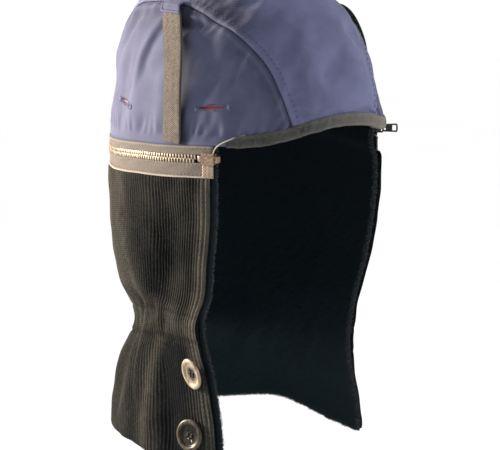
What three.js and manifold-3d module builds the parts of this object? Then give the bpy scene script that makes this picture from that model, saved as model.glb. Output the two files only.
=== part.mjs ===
// Winter helmet liner: a quilt-lined twill crown with a knit neck skirt zipped below it.
// Millimetres, +Z up, face opening towards -Y, wearer's right towards -X.
// Table heights count from the zip line at the temples. The last lines lower the whole
// part, so that the origin is the inside of the crown's top, where a head carries it.
import * as THREE from 'three';
import { mergeVertices } from 'three/addons/utils/BufferGeometryUtils.js';
import Module from 'manifold-3d';

const wasm = await Module();
wasm.setup();

const GAP = 0.3;

// Head outline at the zip line
const HALF_WIDTH = 88;
const HALF_LENGTH = 105;
const ROUNDNESS = 2.2;
const CROWN_HEIGHT = 113;

// Cloth thicknesses
const TWILL = 1.4;
const LINING_CLEARANCE = 0.6;
const QUILT = 2.4;
const TAPE = 1.1;
const KNIT = 3;
const FLEECE = 3.4;
const WEBBING = 1.5;
const BINDING = 1.1;

// Crown's lower edge: angle in degrees from the back, height on the wearer's right and left
const BRIM_LINE = [
  { angle: 0, right: -11, left: -11 },
  { angle: 60, right: -8.5, left: -7.5 },
  { angle: 90, right: -4, left: -1.5 },
  { angle: 112, right: -0.8, left: 2.6 },
  { angle: 122, right: 0.2, left: 1.8 },
  { angle: 135, right: 0.8, left: 1.2 },
  { angle: 150, right: 4.4, left: 4.4 },
  { angle: 165, right: 9.8, left: 9.8 },
  { angle: 180, right: 12.4, left: 12.4 },
];

// How full the dome is: powers of the sine that lifts it and the cosine that narrows it
const CROWN_PROFILE = [
  { angle: 0, lift: 0.8, narrow: 0.76 },
  { angle: 48, lift: 0.79, narrow: 0.7 },
  { angle: 90, lift: 0.93, narrow: 0.9 },
  { angle: 180, lift: 1.08, narrow: 0.84 },
];

// Seam between centre band and side panel, from front foot to back foot, in degrees
const SEAM = [
  { angle: 157, rise: 0 },
  { angle: 153, rise: 13 },
  { angle: 146, rise: 28 },
  { angle: 132, rise: 40 },
  { angle: 113, rise: 47.5 },
  { angle: 90, rise: 52 },
  { angle: 65, rise: 51 },
  { angle: 43, rise: 42 },
  { angle: 33, rise: 29 },
  { angle: 30, rise: 12 },
  { angle: 30, rise: 0 },
];

// Main dents of the crown: place, tilt of the long axis, half sizes and depth
const DENT_REACH = 95;
const CROWN_DENTS = [
  { angle: -107, rise: 44, tilt: 20, length: 22, width: 5, depth: 3.2 },
  { angle: -118, rise: 21, tilt: 62, length: 15, width: 5, depth: 2.6 },
  { angle: -143, rise: 22, tilt: -25, length: 15, width: 5, depth: 2.4 },
  { angle: -60, rise: 36, tilt: 78, length: 24, width: 5, depth: 2.2 },
  { angle: -52, rise: 12, tilt: 0, length: 45, width: 16, depth: 3.2 },
  { angle: 131, rise: 18, tilt: 0, length: 30, width: 22, depth: 2.8 },
  { angle: 152, rise: 9, tilt: 60, length: 12, width: 4, depth: 1.6 },
  { angle: 128, rise: 12, tilt: 80, length: 14, width: 4, depth: 1.8 },
  { angle: 129, rise: 33, tilt: 10, length: 6, width: 5, depth: 3 },
];

// Buttonhole slits in each side panel: ends in degrees, and how far the lips stand open
const SLIT_CUT_DEPTH = 14;
const SLITS = [
  { fromAngle: 113.5, fromRise: 12.7, toAngle: 127.5, toRise: 14, open: 2 },
  { fromAngle: 66.5, fromRise: 10.8, toAngle: 79.5, toRise: 10, open: 1.2 },
];

// Zip band below the crown: heights count down from the crown's lower edge
const ZIP_FROM = -121;
const ZIP_TO = 122;
const UPPER_TAPE = { top: -GAP, bottom: -6 };
const TEETH = { top: -6.3, bottom: -11.5, thickness: 2.2 };
const LOWER_TAPE = { top: -11.8, bottom: -21.8 };
const TEETH_FROM = -113.6;
const TEETH_TO = 115.1;
const TEETH_MIDDLE = (TEETH.top + TEETH.bottom) / 2;
const TEETH_DEPTH = (TAPE - TEETH.thickness) / 2;

// Zip fittings: retainer box and pin at the near end, slider with its bridge at the far one
const BOX = { angle: -118.9, length: 9.8, height: 8.2, cover: 1.1, corner: 1.4, core: 4.5, sit: 0.35 };
const PIN = { length: 4.2, height: 4.5, thickness: 2.4, corner: 0.8 };
const SLIDER = { angle: 114.5, length: 11, height: 9.4, shield: 1.3, corner: 2.4 };
const CHAIN_CLEARANCE = 0.35;
const POST = { length: 3, height: 2.8, inset: 0.6 };
const BRIDGE = { length: 7, width: 2.6, thickness: 1.2, inside: 2.5 };
const WELD = 0.2;

// Pull tab with its window and rivet hole, the loop round the bridge, and its resting angle
const PULL = { length: 11.4, width: 6.2, neck: 5.4, thickness: 1.6, axis: 1.25, raise: 0.7, nose: 1 };
const PULL_WINDOW = { fromEnd: 4, length: 2.8, width: 4 };
const PULL_HOLE = { fromStart: 2, across: -0.9, radius: 0.8 };
const PULL_LOOP = { outer: 5.6, thickness: 1.5, reach: 4.4, overlap: 0.6 };
const PULL_HEADING = -40;

// Binding along the face opening: ends in degrees, height of each leg, room inside the fold
const BINDING_FROM = 127;
const BINDING_TO = 236.5;
const BINDING_TALL = 7.6;
const BINDING_SLACK = 0.9;

// Facets along and across each cloth wall
const SEAM_STEPS = 22;
const BAND_ROWS = 7;
const PANEL_ROWS = 6;
const BINDING_STEPS = 22;
const TAPE_STEPS = 36;
const SKIRT_COLUMNS = 36;
const SKIRT_ROWS = 12;
const STRAP_STEPS = 14;
const TAB_STEPS = 3;

// Neck skirt: where knit and fleece start below the crown's lower edge
const KNIT_TOP = -22.4;
const FLEECE_ABOVE = [-15, -2.6];

// Its half sizes by height, and the angle of its near and far front edges
const SKIRT = [
  { height: -235, near: 85, far: 80, back: 114, front: 132, nearEdge: 115.2, farEdge: 108 },
  { height: -205, near: 84, far: 79, back: 112, front: 130, nearEdge: 114.4, farEdge: 107.5 },
  { height: -175, near: 78.5, far: 74, back: 106, front: 122, nearEdge: 110, farEdge: 108.5 },
  { height: -145, near: 69, far: 71.2, back: 91, front: 108, nearEdge: 102.5, farEdge: 112.5 },
  { height: -115, near: 81, far: 75.5, back: 101, front: 104, nearEdge: 113.5, farEdge: 115.5 },
  { height: -85, near: 86.5, far: 85.5, back: 105, front: 104, nearEdge: 117.5, farEdge: 119.5 },
  { height: -55, near: 88.4, far: 89.5, back: 105.5, front: 106, nearEdge: 119.5, farEdge: 123 },
  { height: -22, near: 88.6, far: 89.6, back: 105.5, front: 106.5, nearEdge: 119.5, farEdge: 124 },
  { height: -15, near: 86.8, far: 86.8, back: 104, front: 104, nearEdge: 119.5, farEdge: 124 },
  { height: 0, near: 86.8, far: 86.8, back: 104, front: 104, nearEdge: 119.5, farEdge: 124 },
];

// The gathered waist leans: how far it drops all round, to the left and to the back
const WAIST = { height: -148, reach: 62, drop: 8, left: 16, back: 11 };
const LEAN_TURN = 0.64 * Math.PI;

// Hem: angle in degrees from the back, height there
const HEM_LINE = [
  { angle: -115, height: -233 },
  { angle: -80, height: -229 },
  { angle: -30, height: -234 },
  { angle: 40, height: -233.5 },
  { angle: 78, height: -226.5 },
  { angle: 92, height: -229 },
  { angle: 110, height: -233.5 },
];
const FLEECE_EDGE = 0.014;
const FLEECE_CLEARANCE = 0.5;

// Folds that hang from the gathered waist: angle, height of the middle, reach and depth
const FOLD_REACH = 85;
const SKIRT_FOLDS = [
  { angle: -84, height: -178, reach: 34, width: 7, depth: 3 },
  { angle: -58, height: -186, reach: 38, width: 8, depth: 3.4 },
  { angle: -30, height: -176, reach: 32, width: 9, depth: 3 },
  { angle: 10, height: -180, reach: 34, width: 9, depth: 3 },
  { angle: 52, height: -178, reach: 32, width: 9, depth: 2.6 },
  { angle: -70, height: -118, reach: 22, width: 7, depth: 2 },
  { angle: -40, height: -116, reach: 22, width: 8, depth: 2 },
];

// Straps: share of the way down, place on the crown, and how far the webbing stands off
const STRAP_HALF_WIDTH = 7.2;
const STRAP_RIGHT = [
  { share: 0, angle: -86, rise: 50, stand: 0.5 },
  { share: 0.1, angle: -89, rise: 45.8, stand: 1.2 },
  { share: 0.3, angle: -94, rise: 36.5, stand: 6.4 },
  { share: 0.5, angle: -98.5, rise: 27, stand: 8 },
  { share: 0.8, angle: -102.5, rise: 10, stand: 4.4 },
  { share: 1, angle: -104, rise: 0.9, stand: 0.5 },
];
const STRAP_LEFT = [
  { share: 0, angle: 92, rise: 50, stand: 0.5 },
  { share: 0.1, angle: 96, rise: 46.8, stand: 1.2 },
  { share: 0.3, angle: 107, rise: 41, stand: 7.5 },
  { share: 0.5, angle: 110, rise: 31, stand: 5 },
  { share: 0.75, angle: 107, rise: 15, stand: 2.4 },
  { share: 1, angle: 104, rise: 0.9, stand: 0.5 },
];
const TAB_HALF_WIDTH = 8.4;
const TAB_TOP_RISE = 51.4;
const TAB_SHARE = 0.1;
const TAB_SLACK = 0.6;

// Buttons: place on the near flap, distance off the cloth, facing direction, and sizes
const UPPER_BUTTON = { side: -0.965, height: -162.5, stand: 5.7, facing: [-0.95, 0.1, -0.18] };
const LOWER_BUTTON = { side: -0.918, height: -206, stand: 2.4, facing: [-0.97, -0.2, 0.13] };
const BUTTON_RADIUS = 11.4;
const BUTTON_THICKNESS = 3.4;
const BUTTON_RECESS_RADIUS = 7.6;
const BUTTON_RECESS = 1.3;
const BUTTON_HOLE_RADIUS = 1.1;
const BUTTON_HOLE_SPREAD = 2.5;

const materials = {
  twill: cloth('twill', 0x5c5e80, 0.85),
  lining: cloth('lining', 0x9c2233, 0.8),
  binding: cloth('binding', 0x4b4c4b, 0.9),
  tape: cloth('tape', 0x8c8070, 0.85),
  webbing: cloth('webbing', 0x8a7c6e, 0.85),
  knit: cloth('knit', 0x34342f, 0.95),
  fleece: cloth('fleece', 0x10161a, 1),
  brass: metal('brass', 0xb59a63, 0.35),
  copper: metal('copper', 0x8a5a45, 0.45),
  blackMetal: metal('black_metal', 0x1c1c1a, 0.4),
  horn: new THREE.MeshStandardMaterial({ name: 'horn', color: 0x3a332b, roughness: 0.3 }),
};

function cloth(name, color, roughness) {
  return new THREE.MeshStandardMaterial({ name, color, roughness, metalness: 0 });
}

function metal(name, color, roughness) {
  return new THREE.MeshStandardMaterial({ name, color, roughness, metalness: 1 });
}

// Smooth curve through a table's rows, level at both ends
function readTable(rows, input, output, value) {
  const last = rows.length - 1;
  const at = THREE.MathUtils.clamp(value, rows[0][input], rows[last][input]);
  let row = 0;
  while (row < last - 1 && at > rows[row + 1][input]) {
    row += 1;
  }
  const slope = (index) => {
    if (index === 0 || index === last) {
      return 0;
    }
    const rise = rows[index + 1][output] - rows[index - 1][output];
    return rise / (rows[index + 1][input] - rows[index - 1][input]);
  };
  const span = rows[row + 1][input] - rows[row][input];
  const t = (at - rows[row][input]) / span;
  const start = (2 * t ** 3 - 3 * t ** 2 + 1) * rows[row][output];
  const end = (3 * t ** 2 - 2 * t ** 3) * rows[row + 1][output];
  const leave = (t ** 3 - 2 * t ** 2 + t) * span * slope(row);
  const arrive = (t ** 3 - t ** 2) * span * slope(row + 1);
  return start + end + leave + arrive;
}

function radians(degrees) {
  return THREE.MathUtils.degToRad(degrees);
}

function signedPower(value, power) {
  return Math.sign(value) * Math.abs(value) ** power;
}

// Superellipse about the head, with the angle counted from the back
function outline(angle, halfWidth, halfLength) {
  const x = halfWidth * signedPower(Math.sin(angle), 2 / ROUNDNESS);
  const y = halfLength * signedPower(Math.cos(angle), 2 / ROUNDNESS);
  return new THREE.Vector2(x, y);
}

function brimHeight(angle) {
  const degrees = Math.abs(THREE.MathUtils.radToDeg(angle));
  return readTable(BRIM_LINE, 'angle', angle < 0 ? 'right' : 'left', degrees);
}

function direction(angle, rise) {
  const level = Math.cos(rise);
  return new THREE.Vector3(level * Math.sin(angle), level * Math.cos(angle), Math.sin(rise));
}

function placeOnCrown(row) {
  return direction(radians(row.angle), radians(row.rise));
}

// How far the crown's dents push the cloth in at a direction from the middle of the head
function dentDepth(towards) {
  let depth = 0;
  for (const dent of CROWN_DENTS) {
    const centre = placeOnCrown(dent);
    if (centre.dot(towards) > 0.5) {
      const angle = radians(dent.angle);
      const level = new THREE.Vector3(Math.cos(angle), -Math.sin(angle), 0);
      const up = new THREE.Vector3().crossVectors(level, centre);
      const tilt = radians(dent.tilt);
      const across = DENT_REACH * level.dot(towards);
      const along = -DENT_REACH * up.dot(towards);
      const long = across * Math.cos(tilt) + along * Math.sin(tilt);
      const short = along * Math.cos(tilt) - across * Math.sin(tilt);
      depth += dent.depth * Math.exp(-((long / dent.length) ** 2) - (short / dent.width) ** 2);
    }
  }
  return depth;
}

// Point of the crown towards a direction, at a depth below its outer face
function crownPoint(towards, depth) {
  const angle = Math.atan2(towards.x, towards.y);
  const degrees = Math.abs(THREE.MathUtils.radToDeg(angle));
  const rise = Math.asin(THREE.MathUtils.clamp(towards.z, 0, 1));
  const lift = Math.sin(rise) ** readTable(CROWN_PROFILE, 'angle', 'lift', degrees);
  const narrow = Math.cos(rise) ** readTable(CROWN_PROFILE, 'angle', 'narrow', degrees);
  const inset = depth + (depth < 0 ? 0 : dentDepth(towards));
  const foot = outline(angle, HALF_WIDTH - inset, HALF_LENGTH - inset);
  const base = brimHeight(angle);
  const top = CROWN_HEIGHT - inset;
  return new THREE.Vector3(foot.x * narrow, foot.y * narrow, base + (top - base) * lift);
}

// Closed solid from columns of facing points, {outer: [...], inner: [...]}
function wall(columns, around = false) {
  const rows = columns[0].outer.length;
  const positions = [];
  for (const column of columns) {
    for (const point of [...column.outer, ...column.inner]) {
      positions.push(point.x, point.y, point.z);
    }
  }
  const triangles = [];
  const quad = (a, b, c, d) => triangles.push(a, b, c, a, c, d);
  const outer = (column, row) => (column % columns.length) * rows * 2 + row;
  const inner = (column, row) => outer(column, row) + rows;
  const steps = around ? columns.length : columns.length - 1;
  for (let i = 0; i < steps; i += 1) {
    for (let j = 0; j < rows - 1; j += 1) {
      quad(outer(i, j), outer(i + 1, j), outer(i + 1, j + 1), outer(i, j + 1));
      quad(inner(i, j), inner(i, j + 1), inner(i + 1, j + 1), inner(i + 1, j));
    }
    quad(outer(i, 0), inner(i, 0), inner(i + 1, 0), outer(i + 1, 0));
    quad(outer(i, rows - 1), outer(i + 1, rows - 1), inner(i + 1, rows - 1), inner(i, rows - 1));
  }
  if (!around) {
    for (let j = 0; j < rows - 1; j += 1) {
      quad(outer(0, j), outer(0, j + 1), inner(0, j + 1), inner(0, j));
      quad(outer(steps, j), inner(steps, j), inner(steps, j + 1), outer(steps, j + 1));
    }
  }
  return closedGeometry(positions, triangles);
}

// Merged geometry without collapsed triangles, turned to face outwards
function closedGeometry(positions, triangles) {
  const rough = new THREE.BufferGeometry();
  rough.setAttribute('position', new THREE.Float32BufferAttribute(positions, 3));
  rough.setIndex(triangles);
  const merged = mergeVertices(rough, 1e-3);
  const index = merged.getIndex().array;
  const kept = [];
  for (let i = 0; i < index.length; i += 3) {
    const [a, b, c] = [index[i], index[i + 1], index[i + 2]];
    if (a !== b && b !== c && c !== a) {
      kept.push(a, b, c);
    }
  }
  if (signedVolume(merged, kept) < 0) {
    kept.reverse();
  }
  merged.setIndex(kept);
  return merged;
}

function signedVolume(geometry, index) {
  const position = geometry.getAttribute('position');
  const corner = [new THREE.Vector3(), new THREE.Vector3(), new THREE.Vector3()];
  let volume = 0;
  for (let i = 0; i < index.length; i += 3) {
    corner.forEach((point, k) => point.fromBufferAttribute(position, index[i + k]));
    volume += corner[0].dot(corner[1].cross(corner[2])) / 6;
  }
  return volume;
}

// Solid for joining and cutting, made from any closed geometry
function solid(geometry) {
  const bare = geometry.clone();
  bare.deleteAttribute('normal');
  bare.deleteAttribute('uv');
  const merged = mergeVertices(bare, 1e-4);
  return new wasm.Manifold(new wasm.Mesh({
    numProp: 3,
    vertProperties: new Float32Array(merged.getAttribute('position').array),
    triVerts: new Uint32Array(merged.getIndex().array),
  }));
}

function geometryOf(manifold) {
  const mesh = manifold.getMesh();
  const geometry = new THREE.BufferGeometry();
  geometry.setAttribute('position', new THREE.BufferAttribute(mesh.vertProperties, 3));
  geometry.setIndex(new THREE.BufferAttribute(mesh.triVerts, 1));
  return geometry;
}

function steps(count) {
  return Array.from({ length: count + 1 }, (_, index) => index / count);
}

function node(name, geometry, material) {
  const mesh = new THREE.Mesh(geometry, material);
  mesh.name = name;
  return mesh;
}

// Crown panels

const seamCurve = new THREE.CatmullRomCurve3(SEAM.map(placeOnCrown));

function seamDirection(share, side) {
  const towards = seamCurve.getPoint(share).normalize();
  towards.x *= side;
  return towards;
}

function crownWall(grid, depth, thickness) {
  return wall(grid.map((line) => ({
    outer: line.map((towards) => crownPoint(towards, depth)),
    inner: line.map((towards) => crownPoint(towards, depth + thickness)),
  })));
}

// Directions over the centre band, from the front edge over the top to the back
function bandGrid(gap) {
  return steps(SEAM_STEPS).map((share) => {
    const right = seamDirection(share, -1);
    const left = seamDirection(share, 1);
    const width = crownPoint(right, 0).distanceTo(crownPoint(left, 0));
    const inset = gap / width;
    return steps(BAND_ROWS).map((across) => (
      right.clone().lerp(left, inset + across * (1 - 2 * inset)).normalize()
    ));
  });
}

// Directions over a side panel, from the lower edge up to the seam
function panelGrid(side, gap) {
  const [front] = SEAM;
  const back = SEAM[SEAM.length - 1];
  return steps(SEAM_STEPS).map((share) => {
    const angle = radians(THREE.MathUtils.lerp(front.angle, back.angle, share)) * side;
    const foot = direction(angle, 0);
    const seam = seamDirection(share, side);
    const height = Math.max(crownPoint(foot, 0).distanceTo(crownPoint(seam, 0)), 1);
    const reach = 1 - gap / height;
    return steps(PANEL_ROWS).map((up) => foot.clone().lerp(seam, up * reach).normalize());
  });
}

// Straight frame on the crown: origin at a place, x along the slit, z out of the cloth
function slitFrame(slit, side) {
  const ends = [
    crownPoint(direction(side * radians(slit.fromAngle), radians(slit.fromRise)), 0),
    crownPoint(direction(side * radians(slit.toAngle), radians(slit.toRise)), 0),
  ];
  const centre = ends[0].clone().add(ends[1]).multiplyScalar(0.5);
  const along = ends[1].clone().sub(ends[0]);
  const length = along.length();
  const outwards = new THREE.Vector3(centre.x, centre.y, 0);
  const lip = new THREE.Vector3().crossVectors(outwards, along).normalize();
  along.normalize();
  const normal = new THREE.Vector3().crossVectors(along, lip);
  const frame = new THREE.Matrix4().makeBasis(along, lip, normal);
  frame.setPosition(centre);
  return { frame, length };
}

// Pointed slot as long and as open as one buttonhole
function slitCutter(slit, side) {
  const { frame, length } = slitFrame(slit, side);
  const shape = new THREE.Shape();
  shape.moveTo(-length / 2, 0);
  shape.quadraticCurveTo(0, -slit.open, length / 2, 0);
  shape.quadraticCurveTo(0, slit.open, -length / 2, 0);
  const cutter = new THREE.ExtrudeGeometry(shape, {
    depth: SLIT_CUT_DEPTH,
    bevelEnabled: false,
    curveSegments: 6,
  });
  cutter.translate(0, 0, -SLIT_CUT_DEPTH / 2);
  return cutter.applyMatrix4(frame);
}

function slitPanel(side) {
  let panel = solid(crownWall(panelGrid(side, GAP / 2), 0, TWILL));
  for (const slit of SLITS) {
    panel = panel.subtract(solid(slitCutter(slit, side)));
  }
  return geometryOf(panel);
}

// Quilted lining: one dome inside the twill, creased where the twill is
function crownLining() {
  const depth = TWILL + LINING_CLEARANCE;
  const grids = [bandGrid(0), panelGrid(-1, 0), panelGrid(1, 0)];
  const [band, right, left] = grids.map((grid) => solid(crownWall(grid, depth, QUILT)));
  return geometryOf(band.add(right).add(left));
}

// Bands that follow the crown's lower edge

function bandPoint(angle, depth, height) {
  const foot = outline(angle, HALF_WIDTH - depth, HALF_LENGTH - depth);
  return new THREE.Vector3(foot.x, foot.y, brimHeight(angle) + height);
}

// The same above the edge, where the crown already leans inwards
function edgePoint(angle, depth, height) {
  if (height <= 0) {
    return bandPoint(angle, depth, height);
  }
  const degrees = Math.abs(THREE.MathUtils.radToDeg(angle));
  const lift = readTable(CROWN_PROFILE, 'angle', 'lift', degrees);
  const share = height / (CROWN_HEIGHT - depth - brimHeight(angle));
  return crownPoint(direction(angle, Math.asin(share ** (1 / lift))), depth);
}

// Flat or folded strip along the edge: two facing lines of [depth, height] corners
function edgeBand(from, to, count, outer, inner) {
  return wall(steps(count).map((share) => {
    const angle = radians(THREE.MathUtils.lerp(from, to, share));
    return {
      outer: outer.map(([depth, height]) => bandPoint(angle, depth, height)),
      inner: inner.map(([depth, height]) => bandPoint(angle, depth, height)),
    };
  }));
}

function flatBand(from, to, count, strip, outerDepth, innerDepth) {
  const outer = [[outerDepth, strip.bottom], [outerDepth, strip.top]];
  const inner = [[innerDepth, strip.bottom], [innerDepth, strip.top]];
  return edgeBand(from, to, count, outer, inner);
}

// Binding folded over the front edge of twill and lining
function brimBinding() {
  const liningBack = TWILL + LINING_CLEARANCE + QUILT;
  const out = -GAP - BINDING;
  const into = liningBack + BINDING_SLACK + BINDING;
  const inside = into - BINDING;
  const outer = [[out, BINDING_TALL], [out, out], [into, out], [into, BINDING_TALL]];
  const inner = [[-GAP, BINDING_TALL], [-GAP, -GAP], [inside, -GAP], [inside, BINDING_TALL]];
  return wall(steps(BINDING_STEPS).map((share) => {
    const angle = wrapped(-radians(THREE.MathUtils.lerp(BINDING_FROM, BINDING_TO, share)));
    const place = ([depth, height]) => edgePoint(angle, depth, height);
    return { outer: outer.map(place), inner: inner.map(place) };
  }));
}

function wrapped(angle) {
  return Math.atan2(Math.sin(angle), Math.cos(angle));
}

// Zip fittings stand in a frame on the band: x along it, y up, z outwards
function bandFrame(degrees, depth, height) {
  const before = bandPoint(radians(degrees - 0.5), depth, height);
  const after = bandPoint(radians(degrees + 0.5), depth, height);
  const along = after.clone().sub(before).setZ(0).normalize();
  const up = new THREE.Vector3(0, 0, 1);
  const outwards = new THREE.Vector3().crossVectors(up, along);
  const frame = new THREE.Matrix4().makeBasis(along.negate(), up, outwards);
  frame.setPosition(bandPoint(radians(degrees), depth, height));
  return frame;
}

function roundedPlate(length, height, thickness, corner) {
  const shape = new THREE.Shape();
  const [x, y] = [length / 2, height / 2];
  shape.moveTo(-x + corner, -y);
  shape.lineTo(x - corner, -y);
  shape.quadraticCurveTo(x, -y, x, -y + corner);
  shape.lineTo(x, y - corner);
  shape.quadraticCurveTo(x, y, x - corner, y);
  shape.lineTo(-x + corner, y);
  shape.quadraticCurveTo(-x, y, -x, y - corner);
  shape.lineTo(-x, -y + corner);
  shape.quadraticCurveTo(-x, -y, -x + corner, -y);
  return new THREE.ExtrudeGeometry(shape, {
    depth: thickness,
    bevelEnabled: false,
    curveSegments: 3,
  });
}

// Retainer box at the near end: a core between the tapes, two covers, and the pin's head
function zipBox() {
  const half = TAPE / 2 + BOX.sit;
  const core = new THREE.BoxGeometry(BOX.length - BOX.corner, BOX.core, 2 * half + BOX.cover);
  const front = roundedPlate(BOX.length, BOX.height, BOX.cover, BOX.corner);
  front.translate(0, 0, half);
  const back = roundedPlate(BOX.length, BOX.height, BOX.cover, BOX.corner);
  back.translate(0, 0, -half - BOX.cover);
  const pin = roundedPlate(PIN.length, PIN.height, PIN.thickness, PIN.corner);
  pin.translate((BOX.length + PIN.length - BOX.corner) / 2, 0, -PIN.thickness / 2);
  const frame = bandFrame(BOX.angle, TAPE / 2, TEETH_MIDDLE);
  const box = solid(core).add(solid(front)).add(solid(back)).add(solid(pin));
  return geometryOf(box).applyMatrix4(frame);
}

// Slider at the far end: two shields round the chain, a post between, a bridge outside
function slider() {
  const half = TEETH.thickness / 2 + CHAIN_CLEARANCE;
  const front = roundedPlate(SLIDER.length, SLIDER.height, SLIDER.shield, SLIDER.corner);
  front.translate(0, 0, half);
  const back = roundedPlate(SLIDER.length, SLIDER.height, SLIDER.shield, SLIDER.corner);
  back.translate(0, 0, -half - SLIDER.shield);
  const post = new THREE.BoxGeometry(POST.length, POST.height, 2 * half + SLIDER.shield);
  post.translate((POST.length - SLIDER.length) / 2 + POST.inset, 0, 0);
  const face = half + SLIDER.shield;
  const rise = BRIDGE.inside + BRIDGE.thickness;
  const bridge = new THREE.BoxGeometry(BRIDGE.length, BRIDGE.width, rise + WELD);
  bridge.translate(0, 0, face + (rise - WELD) / 2);
  const openLength = BRIDGE.length - 2 * BRIDGE.thickness;
  const window = new THREE.BoxGeometry(openLength, 2 * BRIDGE.width, BRIDGE.inside);
  window.translate(0, 0, face + BRIDGE.inside / 2);
  const hoop = solid(bridge).subtract(solid(window));
  return geometryOf(solid(front).add(solid(back)).add(solid(post)).add(hoop));
}

// Pull: a tab with a window and a rivet hole, and a hinge loop round the bridge
function pullTab() {
  const shape = new THREE.Shape();
  const start = PULL_LOOP.reach;
  const end = start + PULL.length;
  const half = PULL.width / 2;
  shape.moveTo(start, -PULL.neck / 2);
  shape.lineTo(end - PULL.nose, -half);
  shape.quadraticCurveTo(end, -half, end, 0);
  shape.quadraticCurveTo(end, half, end - PULL.nose, half);
  shape.lineTo(start, PULL.neck / 2);
  shape.closePath();
  const pane = PULL_WINDOW;
  shape.holes.push(rectanglePath(end - pane.fromEnd, -pane.width / 2, pane.length, pane.width));
  shape.holes.push(circlePath(start + PULL_HOLE.fromStart, PULL_HOLE.across, PULL_HOLE.radius));
  const tab = new THREE.ExtrudeGeometry(shape, {
    depth: PULL.thickness,
    bevelEnabled: false,
    curveSegments: 4,
  });
  tab.translate(0, PULL.raise, -PULL.thickness / 2);
  return tab;
}

function rectanglePath(x, y, width, height) {
  const path = new THREE.Path();
  path.moveTo(x, y);
  path.lineTo(x, y + height);
  path.lineTo(x + width, y + height);
  path.lineTo(x + width, y);
  path.closePath();
  return path;
}

function circlePath(x, y, radius) {
  const path = new THREE.Path();
  path.absarc(x, y, radius, 0, 2 * Math.PI, true);
  return path;
}

// Window frame round the bridge, whose inner bar lies under it
function pullLoop() {
  const bar = PULL_LOOP.thickness;
  const reach = PULL_LOOP.reach + PULL_LOOP.overlap;
  const shape = new THREE.Shape();
  shape.moveTo(-bar / 2, -PULL_LOOP.outer / 2);
  shape.lineTo(reach, -PULL_LOOP.outer / 2);
  shape.lineTo(reach, PULL_LOOP.outer / 2);
  shape.lineTo(-bar / 2, PULL_LOOP.outer / 2);
  shape.closePath();
  const openHeight = BRIDGE.width + 2 * CHAIN_CLEARANCE;
  shape.holes.push(rectanglePath(bar / 2, -openHeight / 2, PULL_LOOP.reach - bar / 2, openHeight));
  const loop = new THREE.ExtrudeGeometry(shape, { depth: bar, bevelEnabled: false });
  loop.translate(0, 0, -bar / 2);
  return loop;
}

// Neck skirt

function foldDepth(angle, height) {
  let depth = 0;
  for (const fold of SKIRT_FOLDS) {
    const across = FOLD_REACH * (angle - radians(fold.angle)) / fold.width;
    const along = (height - fold.height) / fold.reach;
    depth += fold.depth * Math.exp(-(across ** 2) - along ** 2);
  }
  return depth;
}

// Point of the skirt: side runs from -1 at the near front edge to 1 at the far one
function skirtPoint(side, height, depth) {
  const turn = side * LEAN_TURN;
  const lean = WAIST.drop + WAIST.left * Math.sin(turn) + WAIST.back * Math.cos(turn);
  const level = height + lean * Math.exp(-(((height - WAIST.height) / WAIST.reach) ** 2));
  const column = (name) => readTable(SKIRT, 'height', name, level);
  const angle = radians(side * (side < 0 ? column('nearEdge') : column('farEdge')));
  const inset = depth + foldDepth(angle, height);
  const halfWidth = (side < 0 ? column('near') : column('far')) - inset;
  const halfLength = (Math.cos(angle) > 0 ? column('back') : column('front')) - inset;
  const foot = outline(angle, halfWidth, halfLength);
  return new THREE.Vector3(foot.x, foot.y, height);
}

// Columns of heights that knit and fleece share, with the heights that one adds on top
function skirtWall(sides, outerDepth, innerDepth, above) {
  return wall(sides.map((side) => {
    const angle = radians(THREE.MathUtils.clamp(side, -1, 1) * ZIP_TO);
    const brim = brimHeight(angle);
    const hem = readTable(HEM_LINE, 'angle', 'height', THREE.MathUtils.radToDeg(angle));
    const heights = steps(SKIRT_ROWS).map((up) => THREE.MathUtils.lerp(hem, brim + KNIT_TOP, up));
    const line = (depth) => [...heights, ...above.map((height) => brim + height)]
      .map((height) => skirtPoint(side, height, depth));
    return { outer: line(outerDepth), inner: line(innerDepth) };
  }));
}

const skirtSides = steps(SKIRT_COLUMNS).map((share) => 2 * share - 1);

function skirtKnit() {
  return skirtWall(skirtSides, 0, KNIT, []);
}

function skirtFleece() {
  const sides = [-1 - FLEECE_EDGE, ...skirtSides, 1 + FLEECE_EDGE];
  const depth = KNIT + FLEECE_CLEARANCE;
  return skirtWall(sides, depth, depth + FLEECE, FLEECE_ABOVE);
}

// Webbing straps and the twill tabs over their upper ends

function strapPoint(rows, share, across, lift) {
  const angle = radians(readTable(rows, 'share', 'angle', share));
  const rise = radians(readTable(rows, 'share', 'rise', share));
  const stand = readTable(rows, 'share', 'stand', share) + lift;
  const point = crownPoint(direction(angle, rise), -stand);
  const level = new THREE.Vector3(Math.cos(angle), -Math.sin(angle), 0);
  return point.addScaledVector(level, across);
}

function strap(rows) {
  return wall(steps(STRAP_STEPS).map((share) => {
    const line = (lift) => [-1, 1].map((edge) => (
      strapPoint(rows, share, edge * STRAP_HALF_WIDTH, lift)
    ));
    return { outer: line(WEBBING), inner: line(0) };
  }));
}

// Tab sewn over the upper end of a strap, from the seam down
function strapTab(rows) {
  const lift = WEBBING + TAB_SLACK;
  const seamRow = { ...rows[0], rise: TAB_TOP_RISE };
  const ends = [-1, 1].map((edge) => edge * TAB_HALF_WIDTH);
  const line = (share, height) => ends.map((across) => strapPoint(rows, share, across, height));
  const columns = steps(TAB_STEPS).map((down) => ({
    outer: line(down * TAB_SHARE, lift + TWILL),
    inner: line(down * TAB_SHARE, lift),
  }));
  const top = (height) => ends.map((across) => strapPoint([seamRow, rows[1]], 0, across, height));
  return wall([{ outer: top(lift + TWILL), inner: top(lift) }, ...columns]);
}

// Buttons with a raised rim and four holes, face up before they are placed

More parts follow.
